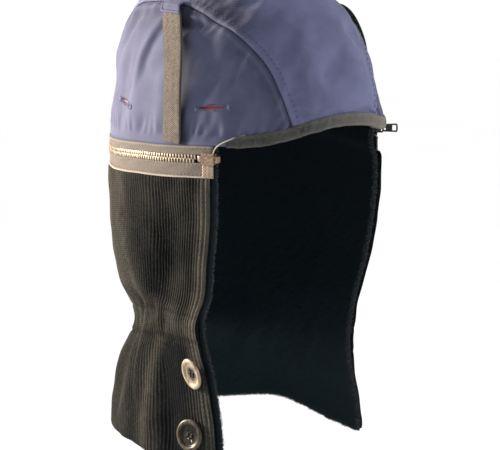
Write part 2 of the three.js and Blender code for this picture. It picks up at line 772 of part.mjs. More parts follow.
function button() {
  const rim = BUTTON_RADIUS;
  const half = BUTTON_THICKNESS / 2;
  const profile = [
    [0, -half],
    [rim - 2.4, -half],
    [rim, 1.5 - half],
    [rim - 0.4, half - 0.4],
    [rim - 1.4, half],
    [BUTTON_RECESS_RADIUS + 0.9, half],
    [BUTTON_RECESS_RADIUS, half - BUTTON_RECESS],
    [0, half - BUTTON_RECESS],
  ].map(([x, y]) => new THREE.Vector2(x, y));
  const lathe = new THREE.LatheGeometry(profile, 24);
  lathe.rotateX(Math.PI / 2);
  let body = solid(lathe);
  for (let hole = 0; hole < 4; hole += 1) {
    const turn = ((hole + 0.5) * Math.PI) / 2;
    const drill = new THREE.CylinderGeometry(
      BUTTON_HOLE_RADIUS, BUTTON_HOLE_RADIUS, 2 * BUTTON_THICKNESS, 8,
    );
    drill.rotateX(Math.PI / 2);
    drill.translate(BUTTON_HOLE_SPREAD * Math.cos(turn), BUTTON_HOLE_SPREAD * Math.sin(turn), 0);
    body = body.subtract(solid(drill));
  }
  return geometryOf(body);
}

// Button node on the near flap, hanging off the cloth and facing its own way
function placedButton(name, { side, height, stand, facing }) {
  const mesh = node(name, button(), materials.horn);
  mesh.position.copy(skirtPoint(side, height, -stand));
  const forward = new THREE.Vector3(0, 0, 1);
  mesh.quaternion.setFromUnitVectors(forward, new THREE.Vector3(...facing).normalize());
  return mesh;
}

// Assembly

const crown = new THREE.Group();
crown.add(
  node('crown_centre_band', crownWall(bandGrid(GAP / 2), 0, TWILL), materials.twill),
  node('crown_panel_right', slitPanel(-1), materials.twill),
  node('crown_panel_left', slitPanel(1), materials.twill),
  node('crown_lining', crownLining(), materials.lining),
  node('brim_binding', brimBinding(), materials.binding),
  node('strap_right', strap(STRAP_RIGHT), materials.webbing),
  node('strap_left', strap(STRAP_LEFT), materials.webbing),
  node('strap_tab_right', strapTab(STRAP_RIGHT), materials.twill),
  node('strap_tab_left', strapTab(STRAP_LEFT), materials.twill),
);

const zip = new THREE.Group();
zip.add(
  node('zip_tape_upper', flatBand(ZIP_FROM, ZIP_TO, TAPE_STEPS, UPPER_TAPE, 0, TAPE), materials.tape),
  node('zip_tape_lower', flatBand(ZIP_FROM, ZIP_TO, TAPE_STEPS, LOWER_TAPE, 0, TAPE), materials.tape),
  node(
    'zip_teeth',
    flatBand(TEETH_FROM, TEETH_TO, TAPE_STEPS, TEETH, TEETH_DEPTH, TEETH_DEPTH + TEETH.thickness),
    materials.brass,
  ),
  node('zip_box', zipBox(), materials.copper),
);

const sliderFrame = bandFrame(SLIDER.angle, TAPE / 2, TEETH_MIDDLE);
zip.add(node('zip_slider', slider().applyMatrix4(sliderFrame), materials.blackMetal));

// The pull turns about a vertical line under the bridge, and rests pointing forward and out
const sliderFace = TEETH.thickness / 2 + CHAIN_CLEARANCE + SLIDER.shield;
const pullAxis = new THREE.Vector3(0, 0, sliderFace + PULL.axis);
pullAxis.applyMatrix4(sliderFrame);
const pull = node(
  'zip_pull',
  geometryOf(solid(pullTab()).add(solid(pullLoop()))).rotateX(Math.PI / 2),
  materials.blackMetal,
);
pull.position.copy(pullAxis);
pull.rotation.z = radians(PULL_HEADING);
zip.add(pull);

const skirt = new THREE.Group();
skirt.add(
  node('skirt_knit', skirtKnit(), materials.knit),
  node('skirt_fleece', skirtFleece(), materials.fleece),
  placedButton('button_upper', UPPER_BUTTON),
  placedButton('button_lower', LOWER_BUTTON),
);

const liner = new THREE.Group();
liner.name = 'helmet_liner';
liner.add(crown, zip, skirt);
liner.position.z = -(CROWN_HEIGHT - TWILL - LINING_CLEARANCE - QUILT);
liner.updateMatrixWorld(true);

export default liner;
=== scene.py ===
# Winter helmet liner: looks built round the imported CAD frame.
# Tables are in mm and degrees. Heights count from the zip line at the temples, and angles
# from the back, negative on the wearer's right.
import math

import bpy
import numpy as np
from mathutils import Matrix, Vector


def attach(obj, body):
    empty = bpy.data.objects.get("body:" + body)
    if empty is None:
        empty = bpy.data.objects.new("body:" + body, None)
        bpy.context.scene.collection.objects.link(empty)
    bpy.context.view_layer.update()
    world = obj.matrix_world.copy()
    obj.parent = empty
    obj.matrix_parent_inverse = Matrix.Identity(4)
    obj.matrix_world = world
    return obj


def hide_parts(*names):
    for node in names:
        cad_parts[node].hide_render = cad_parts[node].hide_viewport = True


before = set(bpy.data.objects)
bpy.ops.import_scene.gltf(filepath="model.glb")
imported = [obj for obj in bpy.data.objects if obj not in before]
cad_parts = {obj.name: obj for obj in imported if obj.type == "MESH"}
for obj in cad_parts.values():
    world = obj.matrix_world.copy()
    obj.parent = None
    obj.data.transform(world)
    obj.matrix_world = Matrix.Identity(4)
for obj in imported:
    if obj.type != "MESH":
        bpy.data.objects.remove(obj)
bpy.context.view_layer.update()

MM = 0.001
# The frame's origin, inside the dome's top, as counted in the tables
ORIGIN = np.array([0, 0, 108.6])
UP = np.array([0, 0, 1])
HALF_WIDTH, HALF_LENGTH, ROUNDNESS, CROWN_HEIGHT = 88, 105, 2.2, 113
TWILL, LINING_CLEARANCE, QUILT, TAPE = 1.4, 0.6, 2.4, 1.1
KNIT, FLEECE, WEBBING = 3, 3.4, 1.5
# Cloth of the visual crown: its thickness, gaps at the seams, pitch of the quilted diamonds
CLOTH, SEAM_GAP, LINING_GAP, DIAMOND = 0.9, 0.01, 0.05, 26
# Mean radii that turn angles into mm, and half the skirt's girth
CROWN_RADIUS, SKIRT_RADIUS, HALF_GIRTH = 95, 85, 195

# Crown's lower edge: angle, height on the wearer's right and left
BRIM_LINE = (
    (0, -11, -11), (60, -8.5, -7.5), (90, -4, -1.5), (112, -0.8, 2.6), (122, 0.2, 1.8),
    (135, 0.8, 1.2), (150, 4.4, 4.4), (165, 9.8, 9.8), (180, 12.4, 12.4),
)
# Fullness of the dome: angle, lift, narrow
CROWN_PROFILE = ((0, 0.8, 0.76), (48, 0.79, 0.7), (90, 0.93, 0.9), (180, 1.08, 0.84))
# Seam between centre band and side panel: angle, rise
SEAM = (
    (157, 0), (153, 13), (146, 28), (132, 40), (113, 47.5), (90, 52),
    (65, 51), (43, 42), (33, 29), (30, 12), (30, 0),
)
# Dents of the crown: angle, rise, tilt, length, width, depth
CROWN_DENTS = (
    (-107, 44, 20, 22, 5, 3.2), (-118, 21, 62, 15, 5, 2.6), (-143, 22, -25, 15, 5, 2.4),
    (-60, 36, 78, 24, 5, 2.2), (-52, 12, 0, 45, 16, 3.2), (131, 18, 0, 30, 22, 2.8),
    (152, 9, 60, 12, 4, 1.6), (128, 12, 80, 14, 4, 1.8), (129, 33, 10, 6, 5, 3),
)
# Smaller creases of the twill alone, in the same columns; a negative depth is a ridge
CREASES = (
    (-81, 30, 84, 30, 3.5, -1.3), (-86, 38, 80, 24, 2.6, 1.1), (-72, 20, 86, 20, 5, 0.9),
    (-124, 34, 58, 16, 4.5, -1.2), (-130, 28, 66, 14, 3.5, 1.5), (-113, 30, 74, 18, 5, 1.5),
    (-137, 12, 80, 9, 3.2, -1.1), (-131, 9, 82, 8, 2.8, 0.9), (-146, 9, 84, 8, 3, 1.0),
    (-152, 20, 70, 14, 3.5, -0.9), (-160, 24, 62, 16, 4, 1.1), (-168, 10, 76, 10, 4, 0.8),
    (172, 30, 20, 24, 6, 0.9), (160, 14, 70, 12, 4, -0.9), (140, 12, 78, 9, 3, 1.1),
    (-175, 48, 10, 30, 8, 0.9), (-120, 8, 86, 8, 3, 0.8), (112, 20, 80, 20, 5, 1.0),
    (60, 25, 82, 22, 6, 1.2), (0, 30, 88, 26, 7, 1.1), (25, 14, 86, 14, 4, -0.8),
)
# Buttonhole slits: from angle and rise, to angle and rise, half opening
SLITS = ((113.5, 12.7, 127.5, 14, 1.0), (66.5, 10.8, 79.5, 10, 0.6))
# Neck skirt: height, half width near and far, half length back and front, near and far edge angle
SKIRT = (
    (-235, 85, 80, 114, 132, 115.2, 108), (-205, 84, 79, 112, 130, 114.4, 107.5),
    (-175, 78.5, 74, 106, 122, 110, 108.5), (-145, 69, 71.2, 91, 108, 102.5, 112.5),
    (-115, 81, 75.5, 101, 104, 113.5, 115.5), (-85, 86.5, 85.5, 105, 104, 117.5, 119.5),
    (-55, 88.4, 89.5, 105.5, 106, 119.5, 123), (-22, 88.6, 89.6, 105.5, 106.5, 119.5, 124),
    (-15, 86.8, 86.8, 104, 104, 119.5, 124), (0, 86.8, 86.8, 104, 104, 119.5, 124),
)
# Hem of the skirt: angle, height
HEM_LINE = (
    (-115, -233), (-80, -229), (-30, -234), (40, -233.5), (78, -226.5), (92, -229), (110, -233.5),
)
# Folds of the skirt as in the CAD, and smaller ones: angle, height, reach, width, depth
SKIRT_FOLDS = (
    (-84, -178, 34, 7, 3), (-58, -186, 38, 8, 3.4), (-30, -176, 32, 9, 3), (10, -180, 34, 9, 3),
    (52, -178, 32, 9, 2.6), (-70, -118, 22, 7, 2), (-40, -116, 22, 8, 2),
)
SMALL_FOLDS = (
    (-96, -172, 22, 4, 1.2), (-74, -168, 20, 3.4, -1.0), (-68, -176, 26, 4, 1.2),
    (-48, -120, 20, 5, 1.0), (-88, -124, 16, 4, 0.9), (70, -172, 26, 6, 1.4), (88, -120, 24, 6, 1.2),
    (-10, -122, 22, 7, 1.2), (30, -120, 20, 7, 1.0), (95, -176, 30, 6, 1.2),
    (-84, -178, 34, 7, -3.0), (-89.5, -192, 46, 5, -2.0), (-99, -198, 46, 7, 3.8),
    (-98, -80, 46, 13, 4.4), (-104, -122, 14, 5, -1.2), (-78, -200, 34, 5, 1.4),
)
# The skirt's mean edge angle, and the tops of its knit and fleece over the brim line
SKIRT_EDGE, KNIT_TOP, FLEECE_TOP = 118, -22.2, -2.6
WAIST_HEIGHT, WAIST_REACH, WAIST_DROP, WAIST_LEFT, WAIST_BACK = -148, 62, 8, 16, 11
ZIP_FROM, ZIP_TO = -121, 122
# Straps: share, angle, rise, stand
STRAP_RIGHT = (
    (0, -86, 50, 0.5), (0.1, -89.5, 45.8, 1.2), (0.3, -97.5, 36.5, 4.9),
    (0.5, -102, 27, 6.0), (0.8, -103.4, 10, 3.2), (1, -102.6, 0.9, 0.5),
)
STRAP_LEFT = (
    (0, 92, 50, 0.5), (0.1, 96, 46.8, 1.2), (0.3, 107, 41, 5.8),
    (0.5, 110, 31, 5), (0.75, 107, 15, 2.4), (1, 104, 0.9, 0.5),
)
STRAP_HALF, TAB_HALF, TAB_TOP = 7.2, 11.0, 52.4
# Buttons: share of the way to the edge, height, stand, facing, radius from which the rim is pale (smaller on
# the upper button, as painted light)
BUTTONS = {
    "upper": (-0.965, -162.5, 5.7, (-0.95, 0.1, -0.18), 5.0),
    "lower": (-0.918, -206, 2.4, (-0.97, -0.2, 0.13), 8.3),
}
# Half section of a button: radius, height
BUTTON_PROFILE = (
    (0, -1.55), (4, -1.7), (8.8, -1.5), (10.4, -0.9), (11.25, 0.1), (11.3, 0.7), (10.9, 1.25), (10.2, 1.62),
    (9.4, 1.7), (8.7, 1.5), (8.1, 0.95), (7.6, 0.5), (6.6, 0.32), (3.5, 0.22), (0, 0.2),
)
# Cloth simulation: frames, shrink, pressure, furthest move, furthest push inward and outward
FRAMES, SHRINK, PRESSURE, FURTHEST, PUSH_IN, PUSH_OUT = 14, 0.022, 0.7, 2.2, -0.6, 1.5
# Stage in metres: floor, half its side, surround's strength, lights' place, size, watts and colour
FLOOR, FLOOR_HALF, AMBIENT = -1.6, 9.0, 1.02
LIGHTS = (
    ("key_left", (-0.82, 1.26, 0.12), 0.35, 120, (1.0, 0.88, 0.74)),
    ("fill_right", (1.25, -0.95, 0.3), 0.8, 26, (0.98, 0.98, 1.0)),
)
# Photograph's camera: azimuth, elevation, distance, focal length, width and middle in pixels
AZIMUTH, ELEVATION, DISTANCE, FOCAL, PICTURE_WIDTH, MIDDLE = -40, 9.3, 1.4, 1946, 500, (5, 101)


# Curves and surfaces


def curve(rows, column, at):
    """Smooth curve through one column of a table, level at both ends."""
    rows = np.asarray(rows, float)
    keys, values = rows[:, 0], rows[:, column]
    at = np.clip(np.asarray(at, float), keys[0], keys[-1])
    slope = np.zeros(len(keys))
    slope[1:-1] = (values[2:] - values[:-2]) / (keys[2:] - keys[:-2])
    i = np.clip(np.searchsorted(keys, at) - 1, 0, len(keys) - 2)
    span = keys[i + 1] - keys[i]
    t = (at - keys[i]) / span
    leave, arrive = (t**3 - 2 * t**2 + t) * span * slope[i], (t**3 - t**2) * span * slope[i + 1]
    blend = 3 * t**2 - 2 * t**3
    return (1 - blend) * values[i] + blend * values[i + 1] + leave + arrive


def either(first, rows, column, at):
    """Curve through a column where first is true, and through the next column elsewhere."""
    return np.where(first, curve(rows, column, at), curve(rows, column + 1, at))


def smooth(low, high, x):
    """0 at low, 1 at high, and an S between."""
    t = np.clip((np.asarray(x, float) - low) / (high - low), 0, 1)
    return t * t * (3 - 2 * t)


def bump(x, width):
    return np.exp(-((x / width) ** 2))


def unit(v):
    return v / np.maximum(np.linalg.norm(v, axis=-1, keepdims=True), 1e-9)


def level(v):
    """Unit vectors of the level part of v."""
    return unit(v * [1, 1, 0])


def waves(points, size, seed):
    """Smooth unevenness about -1 to 1 over points, with bumps about size across."""
    rng, count = np.random.default_rng(seed), 14
    k = unit(rng.normal(size=(count, 3))) * (2 * np.pi / size) * rng.uniform(0.6, 1.5, (count, 1))
    phase = rng.uniform(0, 2 * np.pi, count)
    return np.sin(points @ k.T + phase).sum(-1) * math.sqrt(2 / count) * 0.6


def outline(angle, half_width, half_length):
    """Level x and y of a rounded oval at an angle."""
    x, y = (np.sign(v) * np.abs(v) ** (2 / ROUNDNESS) for v in (np.sin(angle), np.cos(angle)))
    return half_width * x, half_length * y


def brim_height(angle):
    return either(angle < 0, BRIM_LINE, 1, np.degrees(np.abs(angle)))


def direction(angle, rise):
    """Unit vectors for an angle from the back and a rise, in degrees."""
    a, r = np.broadcast_arrays(np.radians(angle), np.radians(rise))
    return np.stack([np.cos(r) * np.sin(a), np.cos(r) * np.cos(a), np.sin(r)], -1)


def dent_depth(towards, rows):
    depth = np.zeros(towards.shape[:-1])
    for angle, rise, tilt, length, width, deep in rows:
        a, t = math.radians(angle), math.radians(tilt)
        centre = direction(angle, rise)
        sideways = np.array([math.cos(a), -math.sin(a), 0])
        across = CROWN_RADIUS * (towards @ sideways)
        along = -CROWN_RADIUS * (towards @ np.cross(sideways, centre))
        long = across * math.cos(t) + along * math.sin(t)
        short = along * math.cos(t) - across * math.sin(t)
        near = (towards @ centre) > 0.5
        depth += near * deep * np.exp(-((long / length) ** 2) - (short / width) ** 2)
    return depth


def crown_point(towards, depth):
    """Points of the crown towards unit vectors, at a depth under its outer face."""
    angle = np.arctan2(towards[..., 0], towards[..., 1])
    degrees = np.degrees(np.abs(angle))
    rise = np.arcsin(np.clip(towards[..., 2], 0, 1))
    lift = np.sin(rise) ** curve(CROWN_PROFILE, 1, degrees)
    narrow = np.cos(rise) ** curve(CROWN_PROFILE, 2, degrees)
    depth = np.asarray(depth, float)
    inset = depth + np.where(depth < 0, 0, dent_depth(towards, CROWN_DENTS))
    x, y = outline(angle, HALF_WIDTH - inset, HALF_LENGTH - inset)
    base = brim_height(angle)
    return np.stack([x * narrow, y * narrow, base + (CROWN_HEIGHT - inset - base) * lift], -1)


def seam_direction(share, side):
    """Centripetal Catmull-Rom through the seam's directions, at shares of its length."""
    p = direction([a for a, _ in SEAM], [r for _, r in SEAM])
    p = np.vstack([2 * p[0] - p[1], p, 2 * p[-1] - p[-2]])
    at = np.clip(share, 0, 1) * (len(SEAM) - 1)
    i = np.minimum(at.astype(int), len(SEAM) - 2)
    w = (at - i)[:, None]
    a, b, c, d = (p[i + k] for k in range(4))
    t0, t1, t2 = (np.linalg.norm(v, axis=1, keepdims=True) ** 0.5 for v in (b - a, c - b, d - c))
    m1 = ((b - a) / t0 - (c - a) / (t0 + t1) + (c - b) / t1) * t1
    m2 = ((c - b) / t1 - (d - b) / (t1 + t2) + (d - c) / t2) * t1
    out = b + m1 * w + (3 * c - 3 * b - 2 * m1 - m2) * w**2 + (2 * b - 2 * c + m1 + m2) * w**3
    return unit(out) * [side, 1, 1]


def crown_width(a, b):
    """Distances on the crown between two rows of directions."""
    return np.linalg.norm(crown_point(a, 0) - crown_point(b, 0), axis=1)[:, None]


def crown_grid(side, nu, nv, gap=SEAM_GAP):
    """Directions of a side panel, up to its seam, or of the centre band from seam to seam."""
    share, up = np.linspace(0, 1, nu), np.linspace(0, 1, nv)
    end = seam_direction(share, side or 1)
    if side:
        start = direction((SEAM[0][0] + (SEAM[-1][0] - SEAM[0][0]) * share) * side, 0)
        t = up * (1 - gap / np.maximum(crown_width(start, end), 1))
    else:
        start = seam_direction(share, -1)
        gap = gap / crown_width(start, end)
        t = gap + up * (1 - 2 * gap)
    t = t[..., None]
    return unit(start[:, None] * (1 - t) + end[:, None] * t)


def waist_level(side, height):
    """Height to look up in the skirt's table, whose tilted waist is level there."""
    turn = side * 0.64 * np.pi
    lean = WAIST_DROP + WAIST_LEFT * np.sin(turn) + WAIST_BACK * np.cos(turn)
    return height + lean * bump(height - WAIST_HEIGHT, WAIST_REACH)


def fold_depth(rows, angle, height, depth):
    """Depth with a table of folds added, at angles in radians."""
    for degrees, middle, reach, width, deep in rows:
        across = SKIRT_RADIUS * (angle - math.radians(degrees)) / width
        depth = depth + deep * np.exp(-(across**2) - ((height - middle) / reach) ** 2)
    return depth


def small_folds(side, height):
    return fold_depth(SMALL_FOLDS, np.radians(side * SKIRT_EDGE), height, 0 * height)


def skirt_point(side, height, depth):
    """Points of the skirt: side runs from -1 at the near front edge to 1 at the far one."""
    at, near = waist_level(side, height), side < 0
    angle = np.radians(side * either(near, SKIRT, 5, at))
    inset = fold_depth(SKIRT_FOLDS, angle, height, depth)
    half_width = either(near, SKIRT, 1, at) - inset
    half_length = either(np.cos(angle) > 0, SKIRT, 3, at) - inset
    x, y = outline(angle, half_width, half_length)
    return np.stack([x, y, height + 0 * x], -1)


def skirt_heights(side, rows, top):
    """Heights of skirt columns from the hem to a height above the brim line."""
    angle = np.clip(side, -1, 1) * ZIP_TO
    hem = curve(HEM_LINE, 1, angle)
    high = brim_height(np.radians(angle)) + top
    return hem[:, None] + (high - hem)[:, None] * np.linspace(0, 1, rows)[None]


def band_point(degrees, depth, height):
    """Points of the zip band: depth under the outline, height above the brim line."""
    angle = np.radians(np.asarray(degrees, float))
    x, y = outline(angle, HALF_WIDTH - depth, HALF_LENGTH - depth)
    return np.stack([x, y, brim_height(angle) + height + 0 * x], -1)


def edge_point(degrees, depth, height):
    """Points along the brim; above its edge they follow the crown's lean."""
    degrees, height = np.broadcast_arrays(np.asarray(degrees, float), np.asarray(height, float))
    lift = curve(CROWN_PROFILE, 1, np.abs(degrees))
    share = np.clip(height / (CROWN_HEIGHT - depth - brim_height(np.radians(degrees))), 0, 1)
    rise = np.degrees(np.arcsin(share ** (1 / lift)))
    above = crown_point(direction(degrees, rise), depth)
    return np.where((height > 0)[..., None], above, band_point(degrees, depth, height))


def strap_line(rows, share, lift):
    where = direction(curve(rows, 1, share), curve(rows, 2, share))
    return crown_point(where, -curve(rows, 3, share) - lift)


def strap_point(rows, share, across, lift, square=True):
    """Points over the panel, across a strap that hangs along its rows, square to its path."""
    a = np.radians(curve(rows, 1, share))
    sideways = np.stack([np.cos(a), -np.sin(a), 0 * a], -1)
    ahead, behind = np.minimum(share + 0.02, 1), np.maximum(share - 0.02, 0)
    way = unit(strap_line(rows, ahead, lift) - strap_line(rows, behind, lift))
    slant = (sideways * way).sum(-1) * (0.9 * smooth(0, 0.12, share) if square else 0)
    turned = unit(sideways - way * slant[..., None])
    return strap_line(rows, share, lift) + turned * np.asarray(across)[..., None]


# Meshes


def normals(grid):
    """Normals of a grid of points, one way for the whole grid."""
    n = unit(np.cross(np.gradient(grid, axis=0), np.gradient(grid, axis=1)))
    middle = grid.reshape(-1, 3).mean(0) - [0, 0, 20]
    return n if ((grid - middle) * n).sum() > 0 else -n


def run(points, axis=0):
    """Distances covered along an axis of a line or grid of points."""
    gaps = np.linalg.norm(np.diff(points, axis=axis), axis=-1)
    return np.cumsum(np.insert(gaps, 0, 0, axis), axis)


def between(points, keys, at):
    """Points of a line at values between its keys."""
    return np.stack([np.interp(at, keys, points[:, k]) for k in range(3)], -1)


def added(name, data):
    piece = bpy.data.objects.new(name, data)
    bpy.context.scene.collection.objects.link(piece)
    return piece


def paint(mesh, name, values):
    """A value for each point of a mesh, read by its material."""
    layer = mesh.attributes.new(name, "FLOAT", "POINT")
    layer.data.foreach_set("value", np.asarray(values, np.float32).ravel())


def shade(mesh, smoothly=True):
    mesh.polygons.foreach_set("use_smooth", np.full(len(mesh.polygons), smoothly))


def make(name, points, faces, uv=None, wear_and_shade=None):
    """A mesh object from points in mm, with UV in mm and a value for each point that its material reads as
    rubbing, and on some pieces as painted light and shade.
    """
    mesh = bpy.data.meshes.new(name)
    p = (np.asarray(points, float) - ORIGIN) * MM
    mesh.from_pydata(p.tolist(), [], [tuple(f) for f in faces])
    if uv is not None:
        index = np.zeros(len(mesh.loops), np.int32)
        mesh.loops.foreach_get("vertex_index", index)
        layer = mesh.uv_layers.new(name="mm")
        layer.data.foreach_set("uv", np.asarray(uv, np.float32)[index].ravel())
    paint(mesh, "wear_and_shade", np.zeros(len(p)) if wear_and_shade is None else wear_and_shade)
    shade(mesh)
    mesh.update()
    return added(name, mesh)


def grid_faces(nu, nv, start=0, flip=False):
    i, j = np.meshgrid(np.arange(nu - 1), np.arange(nv - 1), indexing="ij")
    a = i * nv + j
    f = np.stack([a, a + nv, a + nv + 1, a + 1], -1).reshape(-1, 4) + start
    return f[:, ::-1] if flip else f


def ring_faces(rings, sides, start=0):
    """Faces between closed rings of points."""
    i, j = np.meshgrid(np.arange(rings - 1), np.arange(sides), indexing="ij")
    a, b = i * sides + j, i * sides + (j + 1) % sides
    return np.stack([a, b, b + sides, a + sides], -1).reshape(-1, 4) + start


def shell(name, outer, inner, wear_and_shade=0, uv=None):
    """Closed sheet between two grids of the same size."""
    nu, nv, _ = outer.shape
    n = nu * nv
    if uv is None:
        uv = np.stack(np.meshgrid(run(outer).mean(1), run(outer, 1).mean(0), indexing="ij"), -1)
    faces = [grid_faces(nu, nv), grid_faces(nu, nv, n, flip=True)]
    i, j = np.arange(nu - 1) * nv, np.arange(nv - 1)
    rims = ((i, nv, False), (i + nv - 1, nv, True), (j, 1, True), (j + (nu - 1) * nv, 1, False))
    for a, step, turned in rims:
        rim = np.stack([a, a + n, a + step + n, a + step], -1)
        faces.append(rim[:, ::-1] if turned else rim)
    faces = np.concatenate(faces)
    if (normals(outer) * np.cross(np.gradient(outer, axis=0), np.gradient(outer, axis=1))).sum() < 0:
        faces = faces[:, ::-1]
    both = np.concatenate([outer.reshape(-1, 3), inner.reshape(-1, 3)])
    worn_and_shaded = np.tile(np.broadcast_to(wear_and_shade, (nu, nv)).ravel(), 2)
    return make(name, both, faces, np.tile(uv.reshape(-1, 2), (2, 1)), worn_and_shaded)


def tube(name, paths, radius, sides):
    """One mesh of many capped tubes, each a path of points in mm."""
    points, faces, uv, start = [], [], [], 0
    turn = np.linspace(0, 2 * np.pi, sides, endpoint=False)
    for path in paths:
        n = len(path)
        along = unit(np.gradient(path, axis=0))
        side = unit(np.cross(along, [0.31, 0.17, 0.93]))
        up = np.cross(along, side)
        size = radius * np.sin(np.linspace(0.35, np.pi - 0.35, n)) ** 0.5
        ring = side[:, None] * np.cos(turn)[:, None] + up[:, None] * np.sin(turn)[:, None]
        points.append((path[:, None] + ring * size[:, None, None]).reshape(-1, 3))
        uv.append(np.stack([np.repeat(np.arange(n), sides), np.tile(turn, n)], -1))
        faces += ring_faces(n, sides, start)[:, [0, 3, 2, 1]].tolist()
        faces += [range(start, start + sides)]
        start += n * sides
        faces += [range(start - 1, start - sides - 1, -1)]
    return make(name, np.concatenate(points), faces, np.concatenate(uv))


def stitches(line, out, length=2.6, gap=1.3):
    """Stitch paths along a line of points, each arched a little off the cloth."""
    out, step, paths = unit(out), run(line), []
    arch = 0.18 + 0.35 * (np.sin(np.linspace(0, np.pi, 5)) - 1)
    for start in np.arange(0.6, step[-1] - length, length + gap):
        at = start + length * np.linspace(0, 1, 5)
        paths.append(between(line, step, at) + unit(between(out, step, at)) * arch[:, None])
    return paths


def finish(piece, material, slot, *nodes):
    piece.data.materials.clear()
    piece.data.materials.append(material)
    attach(piece, "liner")
    if nodes:
        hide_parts(*nodes)


def sew(name, paths, radius, material, slot, sides=5):
    finish(tube(name, paths, radius, sides), material, slot)


def final_mesh(piece):
    return piece.evaluated_get(bpy.context.evaluated_depsgraph_get())


def settle(grid):
    """Cloth simulation of a sheet held along its seams; how far each point moved, in mm."""
    nu, nv, _ = grid.shape
    start = grid + normals(grid) * (waves(grid, 26, 5) * 0.5)[..., None]
    piece = make("settling", start.reshape(-1, 3), grid_faces(nu, nv))
    held = np.zeros((nu, nv), bool)
    held[[0, -1]], held[:, [0, -1]] = True, True
    group = piece.vertex_groups.new(name="held")
    group.add(np.flatnonzero(held.ravel()).tolist(), 1.0, "ADD")
    cloth = piece.modifiers.new("cloth", "CLOTH")
    cloth.collision_settings.use_collision = False
    s = cloth.settings
    s.quality, s.mass, s.vertex_group_mass, s.effector_weights.gravity = 6, 0.2, "held", 0
    s.tension_stiffness, s.compression_stiffness = 12, 12
    s.shear_stiffness, s.bending_stiffness = 5, 0.35
    s.use_pressure, s.uniform_pressure_force, s.shrink_min = True, PRESSURE, -SHRINK
    for number in range(1, FRAMES + 1):
        bpy.context.scene.frame_set(number)
    made = final_mesh(piece).to_mesh()
    p = np.zeros(len(made.vertices) * 3, np.float32)
    made.vertices.foreach_get("co", p)
    final_mesh(piece).to_mesh_clear()
    bpy.context.scene.frame_set(1)
    bpy.data.objects.remove(piece)
    move = np.nan_to_num(p.reshape(nu, nv, 3).astype(float) / MM + ORIGIN - grid)
    far = np.linalg.norm(move, axis=2, keepdims=True)
    return move * np.minimum(1, FURTHEST / np.maximum(far, 1e-6))


def resample(values, nu, nv):
    """A grid of vectors stretched smoothly to another size."""
    def along(v, n):
        at = np.linspace(0, v.shape[0] - 1, n)
        i = np.clip(at.astype(int), 0, v.shape[0] - 2)
        t = (at - i).reshape(-1, *[1] * (v.ndim - 1))
        p = np.concatenate([v[:1], v, v[-1:]])
        a, b, c, d = (p[i + k] for k in range(4))
        return b + 0.5 * t * (c - a + t * (2 * a - 5 * b + 4 * c - d + t * (3 * (b - c) + d - a)))

    return np.swapaxes(along(np.swapaxes(along(values, nu), 0, 1), nv), 0, 1)


def cut(piece, cutters):
    """Cuts closed meshes out of a piece."""
    for cutter in cutters:
        modifier = piece.modifiers.new("cut", "BOOLEAN")
        modifier.operation, modifier.solver, modifier.object = "DIFFERENCE", "EXACT", cutter
    bpy.context.view_layer.update()
    made = bpy.data.meshes.new_from_object(final_mesh(piece))
    piece.modifiers.clear()
    piece.data = made
    for cutter in cutters:
        bpy.data.objects.remove(cutter)
    shade(made)


def plug(points):
    """A closed cutter between two rings of points."""
    n = len(points) // 2
    return make("cutter", points, [range(n)[::-1], range(n, 2 * n), *ring_faces(2, n).tolist()])


def on_piece(piece, points):
    """Nearest points of a piece's surface and the normals there, from points in mm."""
    found, out = [], []
    for p in points:
        _, place, normal, _ = piece.closest_point_on_mesh(Vector((p - ORIGIN) * MM))
        found.append(np.array(place) / MM + ORIGIN)
        out.append(np.array(normal))
    return np.array(found), np.array(out)


def sewn(piece, points, out):
    """Stitch paths along a line laid on a piece, always on its outer side."""
    found, normal = on_piece(piece, points + out * 1.5)
    facing = np.sign((normal * out).sum(-1, keepdims=True))
    return stitches(found, normal * np.where(facing == 0, 1, facing))


# Materials


